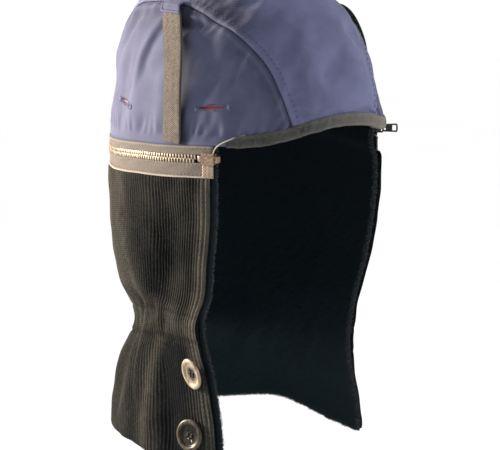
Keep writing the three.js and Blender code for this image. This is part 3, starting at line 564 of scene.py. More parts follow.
class Graph:
    """A node material on one Principled shader, built a node at a time."""

    def __init__(self, name, **inputs):
        self.material = bpy.data.materials.new(name)
        self.material.use_nodes = True
        self.tree = self.material.node_tree
        self.tree.nodes.clear()
        out = self.tree.nodes.new("ShaderNodeOutputMaterial")
        self.shader = self.add("ShaderNodeBsdfPrincipled", **inputs)
        self.tree.links.new(self.shader.outputs[0], out.inputs["Surface"])
        self.uv = self.add("ShaderNodeUVMap").outputs["UV"]
        self.place = self.scaled(self.add("ShaderNodeTexCoord").outputs["Object"], 1 / MM)

    def add(self, kind, settings=None, **inputs):
        n = self.tree.nodes.new(kind)
        for key, value in (settings or {}).items():
            setattr(n, key, value)
        for key, value in inputs.items():
            self.set(n, key.replace("_", " "), value)
        return n

    def set(self, n, key, value):
        if isinstance(value, bpy.types.NodeSocket):
            self.tree.links.new(value, n.inputs[key])
        else:
            n.inputs[key].default_value = value

    def scaled(self, vector, by):
        n = self.add("ShaderNodeVectorMath", {"operation": "MULTIPLY"})
        self.set(n, 0, vector)
        self.set(n, 1, by if isinstance(by, tuple) else (by, by, by))
        return n.outputs[0]

    def math(self, operation, a, b=0.0, c=0.0):
        n = self.add("ShaderNodeMath", {"operation": operation})
        for i, value in enumerate((a, b, c)):
            self.set(n, i, value)
        return n.outputs[0]

    def plus(self, a, b):
        return self.math("ADD", a, b)

    def times(self, a, b):
        return self.math("MULTIPLY", a, b)

    def fit(self, a, by, start):
        return self.math("MULTIPLY_ADD", a, by, start)

    def noise(self, size, detail=3.0, vector=None, roughness=0.55):
        """Noise from 0 to 1 with bumps of a size in mm."""
        at = self.scaled(vector or self.place, 1 / size)
        look = {"Vector": at, "Scale": 1.0, "Detail": detail, "Roughness": roughness}
        return self.add("ShaderNodeTexNoise", **look).outputs["Fac"]

    def lines(self, across, along, pitch):
        """A sine of parallel lines in the UV plane, a pitch in mm apart, from 0 to 1."""
        n = self.add("ShaderNodeVectorMath", {"operation": "DOT_PRODUCT"})
        self.set(n, 0, self.uv)
        self.set(n, 1, (across, along, 0))
        turn = self.times(n.outputs["Value"], 2 * math.pi / pitch)
        return self.fit(self.math("SINE", turn), 0.5, 0.5)

    def ramp(self, factor, *stops):
        n = self.add("ShaderNodeValToRGB", Fac=factor)
        points = n.color_ramp.elements
        while len(points) < len(stops):
            points.new(0.5)
        for point, (at, color) in zip(points, stops):
            point.position, point.color = at, (*color, 1)
        return n.outputs["Color"]

    def mix(self, factor, a, b):
        n = self.add("ShaderNodeMix", {"data_type": "RGBA", "clamp_factor": True})
        for i, value in ((0, factor), (6, a), (7, b)):
            self.set(n, i, (*value, 1) if isinstance(value, tuple) else value)
        return n.outputs[2]

    def wear_and_shade(self, name="wear_and_shade"):
        return self.add("ShaderNodeAttribute", {"attribute_name": name}).outputs["Fac"]

    def surface(self, color, roughness, height=None, strength=0.5, distance=0.3):
        self.set(self.shader, "Base Color", color)
        self.set(self.shader, "Roughness", roughness)
        if height:
            b = self.add("ShaderNodeBump", Strength=strength, Distance=distance * MM, Height=height)
            self.set(self.shader, "Normal", b.outputs["Normal"])
        return self.material


def tint(color, by):
    return tuple(by * v for v in color)


def twill_material(name, dark, light):
    """Navy cotton twill: diagonal wale, yarn noise, rubbed paler on raised places, and painted shade where
    the point value is negative.
    """
    g = Graph(name, Sheen_Weight=0.04, Sheen_Roughness=0.5, Specular_IOR_Level=0.12)
    wale, yarn = g.lines(0.62, 0.78, 1.35), g.lines(0.9, -0.44, 0.8)
    slub = g.noise(0.7, 4.0)
    height = g.plus(g.times(wale, 0.75), g.times(yarn, 0.25))
    height = g.plus(height, g.times(slub, 0.7))
    fade, patch = g.noise(24, 4.0), g.noise(6)
    base = g.ramp(fade, (0.34, tint(dark, 0.9)), (0.68, tint(light, 1.04)))
    base = g.mix(g.times(patch, 0.35), base, light)
    base = g.mix(g.times(wale, 0.3), base, tint(light, 1.7))
    base = g.mix(g.times(g.wear_and_shade(), 0.45), base, tint(light, 2.2))
    # Negative point values darken the cloth: painted shade at the seams and painted shadows.
    base = g.mix(g.times(g.wear_and_shade(), -1.0), base, tint(dark, 0.3))
    return g.surface(base, g.fit(slub, 0.2, 0.68), height, 0.55, 0.28)


def knit_material():
    """Ribbed wool-blend knit: loops up each rib, painted shade in the furrows and painted highlights on the
    rib tops, a second value for painted light and shade with dusty fluff, a light dusty halo.
    """
    g = Graph("rib_knit", Specular_IOR_Level=0.03)
    rib, dust_and_lighting = g.wear_and_shade(), g.wear_and_shade("dust_and_lighting")
    loops, back = g.lines(0.9, 1.0, 1.5), g.lines(-0.9, 1.0, 1.5)
    fuzz = g.noise(0.55, 5.0)
    height = g.plus(g.times(g.math("MAXIMUM", loops, back), 0.6), fuzz)
    rib = g.fit(g.noise(1.3, 4.0), 0.7, g.fit(rib, 0.75, -0.2))
    # Ramps from painted shade in the furrows to painted highlights on the rib tops: the darkest for painted
    # shade, the palest for painted light with fluff.
    clean_and_shaded, dusty, lint_and_lit = (g.ramp(rib, *stops) for stops in (
        ((0.2, (0.0003, 0.0006, 0.0009)), (0.65, (0.0014, 0.0024, 0.0032)), (1.0, (0.0045, 0.006, 0.0068))),
        ((0.15, (0.0038, 0.0041, 0.004)), (0.6, (0.0132, 0.0136, 0.0122)), (1.0, (0.0315, 0.0305, 0.0265))),
        ((0.15, (0.03, 0.027, 0.023)), (0.6, (0.05, 0.045, 0.038)), (1.0, (0.075, 0.068, 0.057))),
    ))
    for size, detail, by in ((9, 4.0, 0.45), (2.2, 3.0, 1.2)):
        dust_and_lighting = g.fit(g.math("SUBTRACT", g.noise(size, detail), 0.5), by, dust_and_lighting)
    base = g.mix(g.math("SUBTRACT", dust_and_lighting, 1.0), g.mix(dust_and_lighting, clean_and_shaded, dusty), lint_and_lit)
    halo = g.times(g.math("POWER", fuzz, 3.0), 0.7)
    base = g.mix(halo, base, g.mix(dust_and_lighting, (0.006, 0.008, 0.009), (0.06, 0.056, 0.046)))
    return g.surface(base, 0.9, height, 0.75, 0.5)


def fleece_material():
    """Near-black brushed pile with small curls."""
    g = Graph("fleece_pile", Specular_IOR_Level=0.02)
    curl = g.add("ShaderNodeTexVoronoi", Vector=g.scaled(g.place, 1 / 2.2), Scale=1.0).outputs["Distance"]
    fine = g.noise(0.8, 6.0, roughness=0.7)
    base = g.ramp(fine, (0.3, (0.003, 0.006, 0.0085)), (0.75, (0.0095, 0.0172, 0.0228)))
    base = g.mix(g.times(g.noise(45, 2.0), 0.5), base, (0.009, 0.015, 0.019))
    base = g.mix(g.times(g.wear_and_shade(), 0.4), base, (0.03, 0.032, 0.037))
    return g.surface(base, 1.0, g.math("SUBTRACT", fine, g.times(curl, 0.5)), 0.9, 0.9)


def weave_material(name, dark, light, across, along, strength, worn_and_shaded, mottle, grain=0.9):
    """Woven tape: crossing yarns of two pitches in mm, speckled, another colour where worn."""
    g = Graph(name, Sheen_Weight=0.03, Sheen_Roughness=0.5, Specular_IOR_Level=0.1)
    warp, weft = g.lines(1, 0, across), g.lines(0, 1, along)
    over = g.times(warp, weft)
    cross = g.plus(over, g.times(g.math("SUBTRACT", 1.0, warp), g.math("SUBTRACT", 1.0, weft)))
    speck = g.noise(grain, 4.0)
    height = g.plus(cross, g.times(speck, 0.6))
    base = g.ramp(g.fit(cross, 0.5, g.times(speck, 0.6)), (0.3, dark), (0.68, light))
    base = g.mix(g.times(g.noise(14), mottle), base, dark)
    return g.surface(g.mix(g.wear_and_shade(), base, worn_and_shaded), 0.85, height, strength, 0.4)


def lining_material():
    """Red quilted satin, with painted shade in its sewn channels and along its seams."""
    g = Graph("quilted_satin", Sheen_Weight=0.3, Sheen_Roughness=0.3, Specular_IOR_Level=0.5)
    fine, tone = g.lines(1, 0.3, 0.7), g.noise(10)
    base = g.ramp(tone, (0.3, (0.55, 0.03, 0.06)), (0.7, (0.8, 0.06, 0.1)))
    base = g.mix(g.times(g.wear_and_shade(), 0.75), base, (0.1, 0.006, 0.012))
    return g.surface(base, g.fit(tone, 0.2, 0.32), g.plus(fine, g.noise(3)), 0.3, 0.25)


def thread_material(name, dark, light):
    """Twisted sewing thread."""
    g = Graph(name, Sheen_Weight=0.04, Specular_IOR_Level=0.12)
    twist = g.lines(1.0, 0.35, 0.9)
    base = g.ramp(g.fit(twist, 0.5, g.times(g.noise(0.6), 0.5)), (0.2, dark), (0.8, light))
    return g.surface(base, 0.75, twist, 0.5, 0.12)


def metal_material(name, dark, light, smoothest, roughest, metallic=1.0):
    """Zip metal: tarnish in patches, fine scratches."""
    g = Graph(name, Metallic=metallic)
    patch, scratch = g.noise(1.6, 5.0), g.noise(0.25, vector=g.scaled(g.place, (1, 1, 7)))
    base = g.ramp(patch, (0.32, dark), (0.66, light))
    return g.surface(base, g.fit(patch, roughest - smoothest, smoothest), scratch, 0.15, 0.06)


def horn_material(name, rim_dark, rim_light):
    """Horn-look button: streaked brown, paler and glossier on the rim."""
    g = Graph(name, Specular_IOR_Level=0.12, Coat_Weight=0.03, Coat_Roughness=0.15)
    streak, fine = g.noise(2.5, 5.0, g.scaled(g.place, (0.5, 1.0, 0.35))), g.noise(0.5)
    base = g.ramp(streak, (0.3, (0.003, 0.0028, 0.0025)), (0.55, (0.009, 0.0075, 0.006)),
                  (0.8, (0.035, 0.026, 0.018)))
    base = g.mix(g.wear_and_shade(), base, g.ramp(streak, (0.3, rim_dark), (0.7, rim_light)))
    return g.surface(base, g.fit(fine, 0.2, 0.25), fine, 0.12, 0.08)


# Crown


def crown_uv(grid, centred):
    """Flat mm of a crown cloth: along the seam, and up or across it column by column."""
    across = run(grid, 1)
    if centred:
        across = across - across[:, -1:] / 2
    along = run(grid[:, grid.shape[1] // 2 if centred else 0])
    return np.stack([np.broadcast_to(along[:, None], across.shape), across], -1)


def crown_cloth(name, side, size, sim_size, seed):
    """One twill piece of the crown, with its wrinkles and sewn edges."""
    is_band = not side
    towards = crown_grid(side, *size)
    base = crown_point(towards, 0)
    out, y = normals(base), base[..., 1]
    uv = crown_uv(base, is_band)
    along, across = uv[..., 0], uv[..., 1]
    from_seam = across[:, -1:] - (np.abs(across) if is_band else across)
    from_hem = np.minimum(along, along.max() - along) if is_band else across
    edge = np.minimum(from_seam, from_hem)
    relief = -dent_depth(towards, CREASES)
    relief += (0.75 * waves(base, 42, seed) * smooth(0, 16, edge)
               + 0.22 * waves(base, 15, seed + 1) * smooth(0, 7, edge))
    ripple = np.sin(along * 2 * np.pi / 8.5 + 2.2 * waves(base, 30, seed + 2))
    relief += ((0.24 if is_band else 0.38) * ripple * bump(from_seam - 7, 7)
               + 0.5 * ripple * bump(from_hem - 9, 7) * smooth(5, 9, from_hem))
    worn_and_shaded = 0.25 * smooth(0.3, 1.6, relief)
    if is_band:
        relief += (0.55 * smooth(8, 6.4, from_seam) - 0.35 * bump(from_seam - 6, 0.8)
                   - 0.5 * smooth(0.9, 0, from_seam))
        # Lighter just off the seam, and painted shade in the seam's groove.
        worn_and_shaded = np.maximum(worn_and_shaded, 0.5 * bump(from_seam - 1.6, 0.9)) - 0.9 * smooth(1.3, 0.3, from_seam)
        shadow = 0.75 * smooth(34, 10, from_seam) * smooth(15, -15, y) * smooth(-75, -45, y)
    else:
        relief -= 0.8 * smooth(1.9, 0.5, from_seam)
        # Lighter along a ridge off the seam, and painted shade where the panel dips under the band's edge.
        worn_and_shaded = np.maximum(worn_and_shaded, 0.35 * bump(from_seam - 5, 1.6)) - 1.8 * smooth(2.0, 0.9, from_seam)
        shadow = 0.42 * smooth(26, 4, from_seam) * smooth(2, 7, from_hem)
    worn_and_shaded = np.maximum(worn_and_shaded, 0.5 * bump(from_hem - 0.6, 1.0)) - shadow
    # Painted shadow of the strap on the side panels.
    if side:
        worn_and_shaded = worn_and_shaded - painted_strap_shadow(base, seed)
    # Near the binding nothing rises, and near all sewn edges the simulation moves nothing
    relief = np.maximum(relief, -0.9)
    relief = relief - np.maximum(relief, 0) * smooth(9.5, 6.8, from_hem)
    outer = base + out * relief[..., None]
    move = resample(settle(crown_point(crown_grid(side, *sim_size), 0)), *size)
    push = (move * out).sum(-1, keepdims=True)
    move = move + out * (np.clip(push, PUSH_IN, PUSH_OUT) - push)
    outer = outer + move * smooth(7, 20, edge)[..., None]
    return shell(name, outer, outer - out * CLOTH, worn_and_shaded, uv)


def painted_strap_shadow(points, seed):
    """Painted shadow of a strap: how dark the cloth is painted beside and beneath it."""
    rows = STRAP_RIGHT if points[..., 0].mean() < 0 else STRAP_LEFT
    share = np.linspace(0, 1, 40)
    line = strap_point(rows, share, np.zeros(40), -curve(rows, 3, share))
    gap = points[:, :, None] - line[None, None]
    near = np.linalg.norm(gap, axis=3).argmin(2)
    reach = np.take_along_axis(gap @ [0, 1, 0], near[..., None], 2)[..., 0]
    shadow_middle = 1.19 * curve(rows, 3, share)[near] - 9.4 + waves(points, 30, seed)
    dark = 0.9 * bump(reach - shadow_middle, 4.4) * smooth(0.0, 0.12, share[near]) + 0.4 * bump(reach, 7)
    return np.clip(dark, 0, 0.9)


def slit_place(slit, side):
    """Middle, ways along, across and out, and half length of a buttonhole slit."""
    a0, r0, a1, r1, _ = slit
    ends = crown_point(direction(np.array([a0, a1]) * side, [r0, r1]), 0)
    middle, along = ends.mean(0), ends[1] - ends[0]
    half, along = np.linalg.norm(along) / 2, unit(along)
    lip = unit(np.cross([middle[0], middle[1], 0], along))
    return middle, along, lip, np.cross(along, lip), half


def slit_cutter(slit, side):
    middle, along, lip, out, half = slit_place(slit, side)
    x = np.linspace(-1, 1, 15)
    y = slit[4] * (1 - x**2)
    loop = [*zip(x, -y), *zip(x[-2:0:-1], y[-2:0:-1])]
    ring = np.array([middle + along * a * half + lip * b for a, b in loop])
    return plug(np.concatenate([ring - out * 7, ring + out * 7]))


def slit_threads(panel, slit, side):
    """Buttonhole stitches all round a slit, and a bar tack at each end."""
    middle, along, lip, out, half = slit_place(slit, side)
    paths = []

    def lay(line, heights):
        found, normal = on_piece(panel, line + out * 2)
        paths.append(found + normal * np.array(heights)[:, None])

    for way in (-1, 1):
        for x in np.linspace(-0.97, 0.97, 26):
            y = slit[4] * (1 - x**2)
            near, far = (middle + along * x * half + lip * way * (y + more) for more in (0.15, 1.75))
            lay(np.linspace(near, far, 4), [0.0, 0.22, 0.22, -0.1])
    for end in (-1, 1):
        for x in np.linspace(0.2, 1.6, 5):
            line = np.linspace(-1.9, 1.9, 6)[:, None] * lip + middle + along * end * (half + x)
            lay(line, [-0.1, 0.25, 0.3, 0.3, 0.25, -0.1])
    return paths


def build_crown(twill, navy):
    # The band's twill is a lighter copy of the panels' twill: painted light on the band.
    band_twill_lit = twill_material("twill_band_lit_copy", (0.052, 0.056, 0.105), (0.07, 0.074, 0.135))
    band = crown_cloth("centre_band_cloth", 0, (210, 66), (70, 24), 3)
    finish(band, band_twill_lit, "twill", "crown_centre_band")
    for side, word in ((-1, "right"), (1, "left")):
        panel = crown_cloth(f"side_panel_{word}_cloth", side, (190, 60), (66, 24), 11 + side)
        cut(panel, [slit_cutter(slit, side) for slit in SLITS])
        finish(panel, twill, "twill", f"crown_panel_{word}")
        paths = [p for slit in SLITS for p in slit_threads(panel, slit, side)]
        pale = thread_material(f"slit_thread_{word}", (0.05, 0.053, 0.09), (0.2, 0.205, 0.3))
        sew(f"slit_threads_{word}", paths, 0.26, pale, "twill")
        share = np.linspace(0.02, 0.98, 150)
        seam, other = seam_direction(share, side), seam_direction(share, -side)
        width = crown_width(seam, other)
        row = unit(seam * (1 - 6.0 / width) + other * 6.0 / width)
        sew(f"seam_threads_{word}", sewn(band, crown_point(row, 0), row), 0.21, navy, "twill")
    degrees = np.linspace(159, 201, 60)
    hem = direction(np.where(degrees > 180, degrees - 360, degrees), 5.6)
    sew("forehead_threads", sewn(band, crown_point(hem, 0), hem), 0.2, navy, "twill")


def build_lining():
    """Quilted lining: a dome with sewn diamonds puffing inwards."""
    satin = lining_material()
    for word, side, size in (("band", 0, (150, 44)), ("right", -1, (120, 40)), ("left", 1, (120, 40))):
        towards = crown_grid(side, *size, LINING_GAP)
        outer = crown_point(towards, TWILL + LINING_CLEARANCE + 0.1)
        uv = crown_uv(outer, not side)
        along, across = uv[..., 0], uv[..., 1]
        diagonals = (along + across, along - across)
        channel = np.minimum(*(np.abs(np.sin(np.pi * (d / DIAMOND))) for d in diagonals))
        sewn_in = across[:, -1:] - np.abs(across)
        puff = channel**0.55 * np.clip(np.minimum(sewn_in, 6) / 6, 0, 1) ** 0.5
        inner = outer - normals(outer) * (1.5 + 1.4 * puff)[..., None]
        if side:
            sewn_in = np.minimum(sewn_in, across)
        # Painted shade in the quilted channels and along the sewn edges.
        worn_and_shaded = np.maximum(1 - smooth(0, 0.35, channel), 1.3 * smooth(4, 1, sewn_in))
        piece = shell(f"lining_{word}_quilt", outer, inner, worn_and_shaded, uv)
        finish(piece, satin, "lining", "crown_lining")


def build_binding():
    """Ribbed tape folded over the brim of the face opening, with its rows of stitches."""
    turned = np.linspace(127, 236.5, 190)
    degrees = -((turned + 180) % 360 - 180)
    into, low = TWILL + LINING_CLEARANCE + QUILT + 0.9, -0.45
    # Depth, height and wear round the fold, from outside to inside
    path = ((-0.45, 7.6, 0.5), (-0.7, 6.9, 0.3), (-0.75, 4.5, 0.05), (-0.65, 2.2, 0.05), (-0.45, 0.6, 0.2),
            (0.4, low - 0.35, 0.3), (1.8, low - 0.7, 0.1), (into - 1.2, low - 0.5, -0.5),
            (into, 0.6, -0.8), (into + 0.2, 3.5, -0.8), (into, 7.4, -0.8))
    along = turned[:, None] * [1, 0, 0]
    ripple, start = waves(along, 5, 9), 0.3 + 0.7 * smooth(126.5, 132, turned)
    outer, inner = [], []
    for d, h, _ in path:
        rib = 0.42 * waves(along + [0, 1.5 * h, 0], 2.6, 10)
        outer.append(edge_point(degrees, d - 0.55 - rib, (h * start if h > 0 else h) + 0.3 * ripple))
        under = max(h, low) + (0.7 if h < 0.7 else 0)
        inner.append(edge_point(degrees, d + 0.3 if d < 2 else d - 0.9, under * start))
    worn_and_shaded = np.array([row[2] for row in path]) * (0.7 + 0.3 * ripple[:, None])
    worn_and_shaded = np.clip(worn_and_shaded + 0.85 * smooth(160, 222, turned)[:, None], 0, 1)
    piece = shell("brim_binding_tape", np.stack(outer, 1), np.stack(inner, 1), worn_and_shaded)
    weave = weave_material("binding_weave", (0.004, 0.005, 0.0055), (0.085, 0.088, 0.085), 1.5, 1.1, 1.2,
                           (0.135, 0.124, 0.106), 0.6, 2.0)
    finish(piece, weave, "binding", "brim_binding")
    line = edge_point(degrees[3:-3], -0.95, 5.9)
    grey = thread_material("grey_thread", (0.03, 0.034, 0.036), (0.16, 0.165, 0.16))
    sew("binding_threads", stitches(line, level(line), 2.4, 1.2), 0.2, grey, "binding")


# Zip


def tape_strip(name, low, high, relief, worn_and_shaded, start=ZIP_FROM, stop=ZIP_TO, columns=230, thick=0.95):
    """Strip of tape round the head, with a relief and a wear for each of its rows."""
    degrees = np.linspace(start, stop, columns)[:, None]
    share = np.linspace(0, 1, len(relief))[None]
    height = low + (high - low) * share + 0 * degrees
    depth = -relief - 0.12 * np.sin(degrees / 2.1 + 5 * share) - 0.06 * np.sin(degrees * 3.1)
    outer = band_point(degrees + 0 * share, depth, height)
    inner = band_point(degrees + 0 * share, depth * 0 + thick, height)
    return shell(name, outer, inner, worn_and_shaded)


def tooth(length, height, depth):
    """Points and faces of one zip tooth: a block with a rounded, waisted nose."""
    rows = ((-0.5, 0.82, 0.75), (-0.2, 1, 1), (0.15, 0.86, 1), (0.38, 0.98, 0.9), (0.5, 0.7, 0.6))
    section = ((-0.5, -0.32), (-0.32, -0.5), (0.32, -0.5), (0.5, -0.32),
               (0.5, 0.32), (0.32, 0.5), (-0.32, 0.5), (-0.5, 0.32))
    points = [(x * length * wide, up * height, z * depth * deep)
              for up, wide, deep in rows for x, z in section]
    return np.array(points), [*ring_faces(5, 8).tolist(), [*range(7, -1, -1)], [*range(32, 40)]]


def on_band(block, degrees, height, lean=0):
    """Points of a block that stands on the zip at an angle."""
    here = band_point(degrees, TAPE / 2, height)
    along = level(band_point(degrees + 0.3, TAPE / 2, 0) - band_point(degrees, TAPE / 2, 0))
    out = np.cross(along, UP)
    out = out if out @ here > 0 else -out
    return here + block[:, :1] * along + block[:, 1:2] * (UP + along * lean) + block[:, 2:] * out


def build_teeth():
    """Two rows of metal teeth, one gripping between the other's, on a woven core."""
    block, sides = tooth(1.72, 3.3, 2.35)
    fine = np.linspace(-113.6, 115.1, 1500)
    way = run(band_point(fine, TAPE / 2, 0))
    pitch, points, faces = 2.65, [], []
    for row, middle in ((1, -7.75), (-1, -10.05)):
        for at in np.arange(1.0 + (0 if row > 0 else pitch / 2), way[-1] - 1, pitch):
            faces += [[i + len(points) * len(block) for i in f[::-row]] for f in sides]
            points.append(on_band(block * [1, -row, 1], np.interp(at, way, fine), middle, 0.1 * row))
    points = np.concatenate(points)
    piece = make("zip_teeth_pair", points, faces, np.zeros((len(points), 2)))
    shade(piece.data, False)
    brass = metal_material("tooth_brass", (0.1, 0.08, 0.056), (0.31, 0.262, 0.2), 0.4, 0.6, 0.75)
    finish(piece, brass, "brass", "zip_teeth")
    core = tape_strip("zip_chain_cord", -9.9, -7.9, np.full(3, -0.35), 0, -113.4, 114.9, 200, 0.75)
    weave = weave_material("chain_cord_weave", (0.012, 0.01, 0.008), (0.05, 0.042, 0.034), 1.2, 0.8, 0.6,
                           (0.6, 0.55, 0.47), 0.35)
    finish(core, weave, "tape")


def build_tapes():
    beige = weave_material("zip_tape_weave", (0.058, 0.048, 0.041), (0.152, 0.134, 0.116), 0.9, 0.7, 0.5,
                           (0.29, 0.26, 0.225), 0.55, 1.2)
    s = np.linspace(0, 1, 9)
    relief = 0.25 * bump(s - 0.85, 0.1) - 0.3 * smooth(0.95, 1, s)
    upper = tape_strip("zip_tape_upper_cloth", -6.1, -0.02, relief,
                       0.3 * bump(s - 0.85, 0.08) + 0.25 * bump(s - 0.04, 0.05))
    s = np.linspace(0, 1, 15)
    relief = 0.6 * bump(s - 0.05, 0.06) - 0.3 * bump(s - 0.17, 0.05) + 0.1 * smooth(0.9, 1, s)
    lower = tape_strip("zip_tape_lower_cloth", -22.1, -11.7, relief,
                       0.85 * smooth(0.14, 0.09, s) + 0.2 * bump(s - 0.96, 0.03))
    for piece, node, tall in ((upper, "zip_tape_upper", 0.006), (lower, "zip_tape_lower", 0.0104)):
        finish(piece, beige, "tape", node)
    paths = []
    for height, proud in ((-1.5, -0.1), (-19.8, -0.05), (-13.0, -0.05)):
        line = band_point(np.linspace(ZIP_FROM + 1, ZIP_TO - 1, 260), proud, height)
        paths += stitches(line, level(line), 2.2, 1.1)
    cream = thread_material("cream_thread", (0.11, 0.09, 0.07), (0.25, 0.21, 0.17))
    sew("zip_tape_threads", paths, 0.2, cream, "tape")
    s = np.linspace(0, 1, 12)
    patch = tape_strip("zip_end_patch", -22.0, -11.9, np.full(12, 0.42), 0.15 + 0.5 * smooth(0.1, 0.02, s),
                       -121.3, -116.3, 12, -0.15)
    grid = weave_material("patch_grid", (0.11, 0.075, 0.056), (0.27, 0.205, 0.16), 2.1, 2.1, 0.9,
                          (0.42, 0.36, 0.3), 0.3)
    finish(patch, grid, "tape")
    # Piping that ends the binding at the near corner: angle, depth, height
    corner = ((-120.9, -0.5, -9.5), (-121.2, -0.7, -5.5), (-122.0, -0.9, -2.2), (-123.4, -1.2, 0.4),
              (-125.4, -1.2, 2.6), (-128, -1.0, 4.6), (-131, -0.6, 6.6), (-135, 0.1, 8.0))
    rows = [(k, *band_point(*row)) for k, row in enumerate(corner)]
    line = np.stack([curve(rows, k, np.linspace(0, len(rows) - 1, 40)) for k in (1, 2, 3)], -1)
    pale = thread_material("pale_piping", (0.16, 0.145, 0.12), (0.42, 0.4, 0.34))
    sew("brim_corner_piping", [line], 0.48, pale, "tape", 8)


def build_fittings():
    """Looks of the CAD slider, pull and box, and the pin between the teeth and the box."""
    black = metal_material("black_enamel", (0.004, 0.004, 0.004), (0.02, 0.019, 0.018), 0.25, 0.45, 0.6)
    copper = metal_material("copper_tone", (0.14, 0.095, 0.07), (0.34, 0.25, 0.185), 0.3, 0.5)
    looks = (("zip_slider", black, 0.3), ("zip_pull", black, 0.25), ("zip_box", copper, 0.25))
    for node, material, width in looks:
        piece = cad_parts[node]
        edges = piece.modifiers.new("edges", "BEVEL")
        edges.width, edges.segments, edges.limit_method = width * MM, 2, "ANGLE"
        edges.angle_limit = math.radians(35)
        piece.data.materials.clear()
        piece.data.materials.append(material)
    block, sides = tooth(3.3, 4.4, 2.3)
    pin = make("zip_box_pin", on_band(block, -115.2, -8.9), sides, np.zeros((len(block), 2)))
    finish(pin, copper, "brass")


# Skirt


def dust_and_lighting_map(degrees, height, from_edge):
    """Painted light and shade with dusty fluff on the knit: painted shade in a fold's hollow and a dark zone
    above the waist, painted light on a ridge and on the side facing the key lamp, front strips pale from
    fluff and painted light, paler round the waist.
    """
    low, high = smooth(-134, -152, height), smooth(-124, -110, height)
    strip = smooth(13, 8.5, from_edge)
    hollow = np.interp(height, (-208, -190, -175, -157, -143), (-98, -97, -95.5, -93.5, -91.5))
    # Painted shade in the fold's hollow below the waist, and next in a dark zone above it.
    bare_and_shaded = low * (0.95 * np.exp(-(((degrees - hollow) / 7.5) ** 4)) + 0.35 * bump(degrees + 77, 4.5))
    middle = np.interp(height, (-104, -80, -58), (-88.5, -93, -93))
    reach = np.interp(height, (-104, -80, -58), (6, 15, 20))
    deep = np.interp(height, (-104, -80, -58, -38), (0.75, 0.68, 0.4, 0.1))
    bare_and_shaded += deep * high * bump(degrees - middle, reach)
    # Painted light on a ridge below the waist and on the side facing the key lamp; the front strips are pale
    # from fluff and painted light.
    pale = 0.5 * low * bump(degrees + 84.3, 3.2) + 0.85 * strip * smooth(-138, -118, height)
    side = smooth(-86, -70, degrees) * smooth(-45, -60, degrees)
    pale = pale + 0.55 * bump(height + 132, 18) + 0.6 * high * side
    return 0.72 - bare_and_shaded + pale + 0.35 * strip * low


def edge_strips(outer, inner, material):
    """Rims that close the knit between its outer and inner sheets."""
    points, faces, start = [], [], 0
    for edge in (np.s_[0], np.s_[-1], np.s_[:, 0], np.s_[:, -1]):
        a, b = outer[edge], inner[edge]
        n = len(a)
        b = between(b, range(len(b)), np.linspace(0, len(b) - 1, n))
        middle = (a + b) / 2
        lift = unit(middle - outer.reshape(-1, 3).mean(0)) * 0.2
        points.append(np.concatenate([a, middle + lift, b]))
        i = np.arange(n - 1) + start
        for k in (0, n):
            faces += np.stack([i + k, i + k + 1, i + k + n + 1, i + k + n], -1).tolist()
        start += 3 * n
    points = np.concatenate(points)
    uv = points[:, :2] + points[:, 2:]
    rim = make("skirt_knit_rims", points, faces, uv, np.full(len(points), 0.6))
    finish(rim, material, "knit")


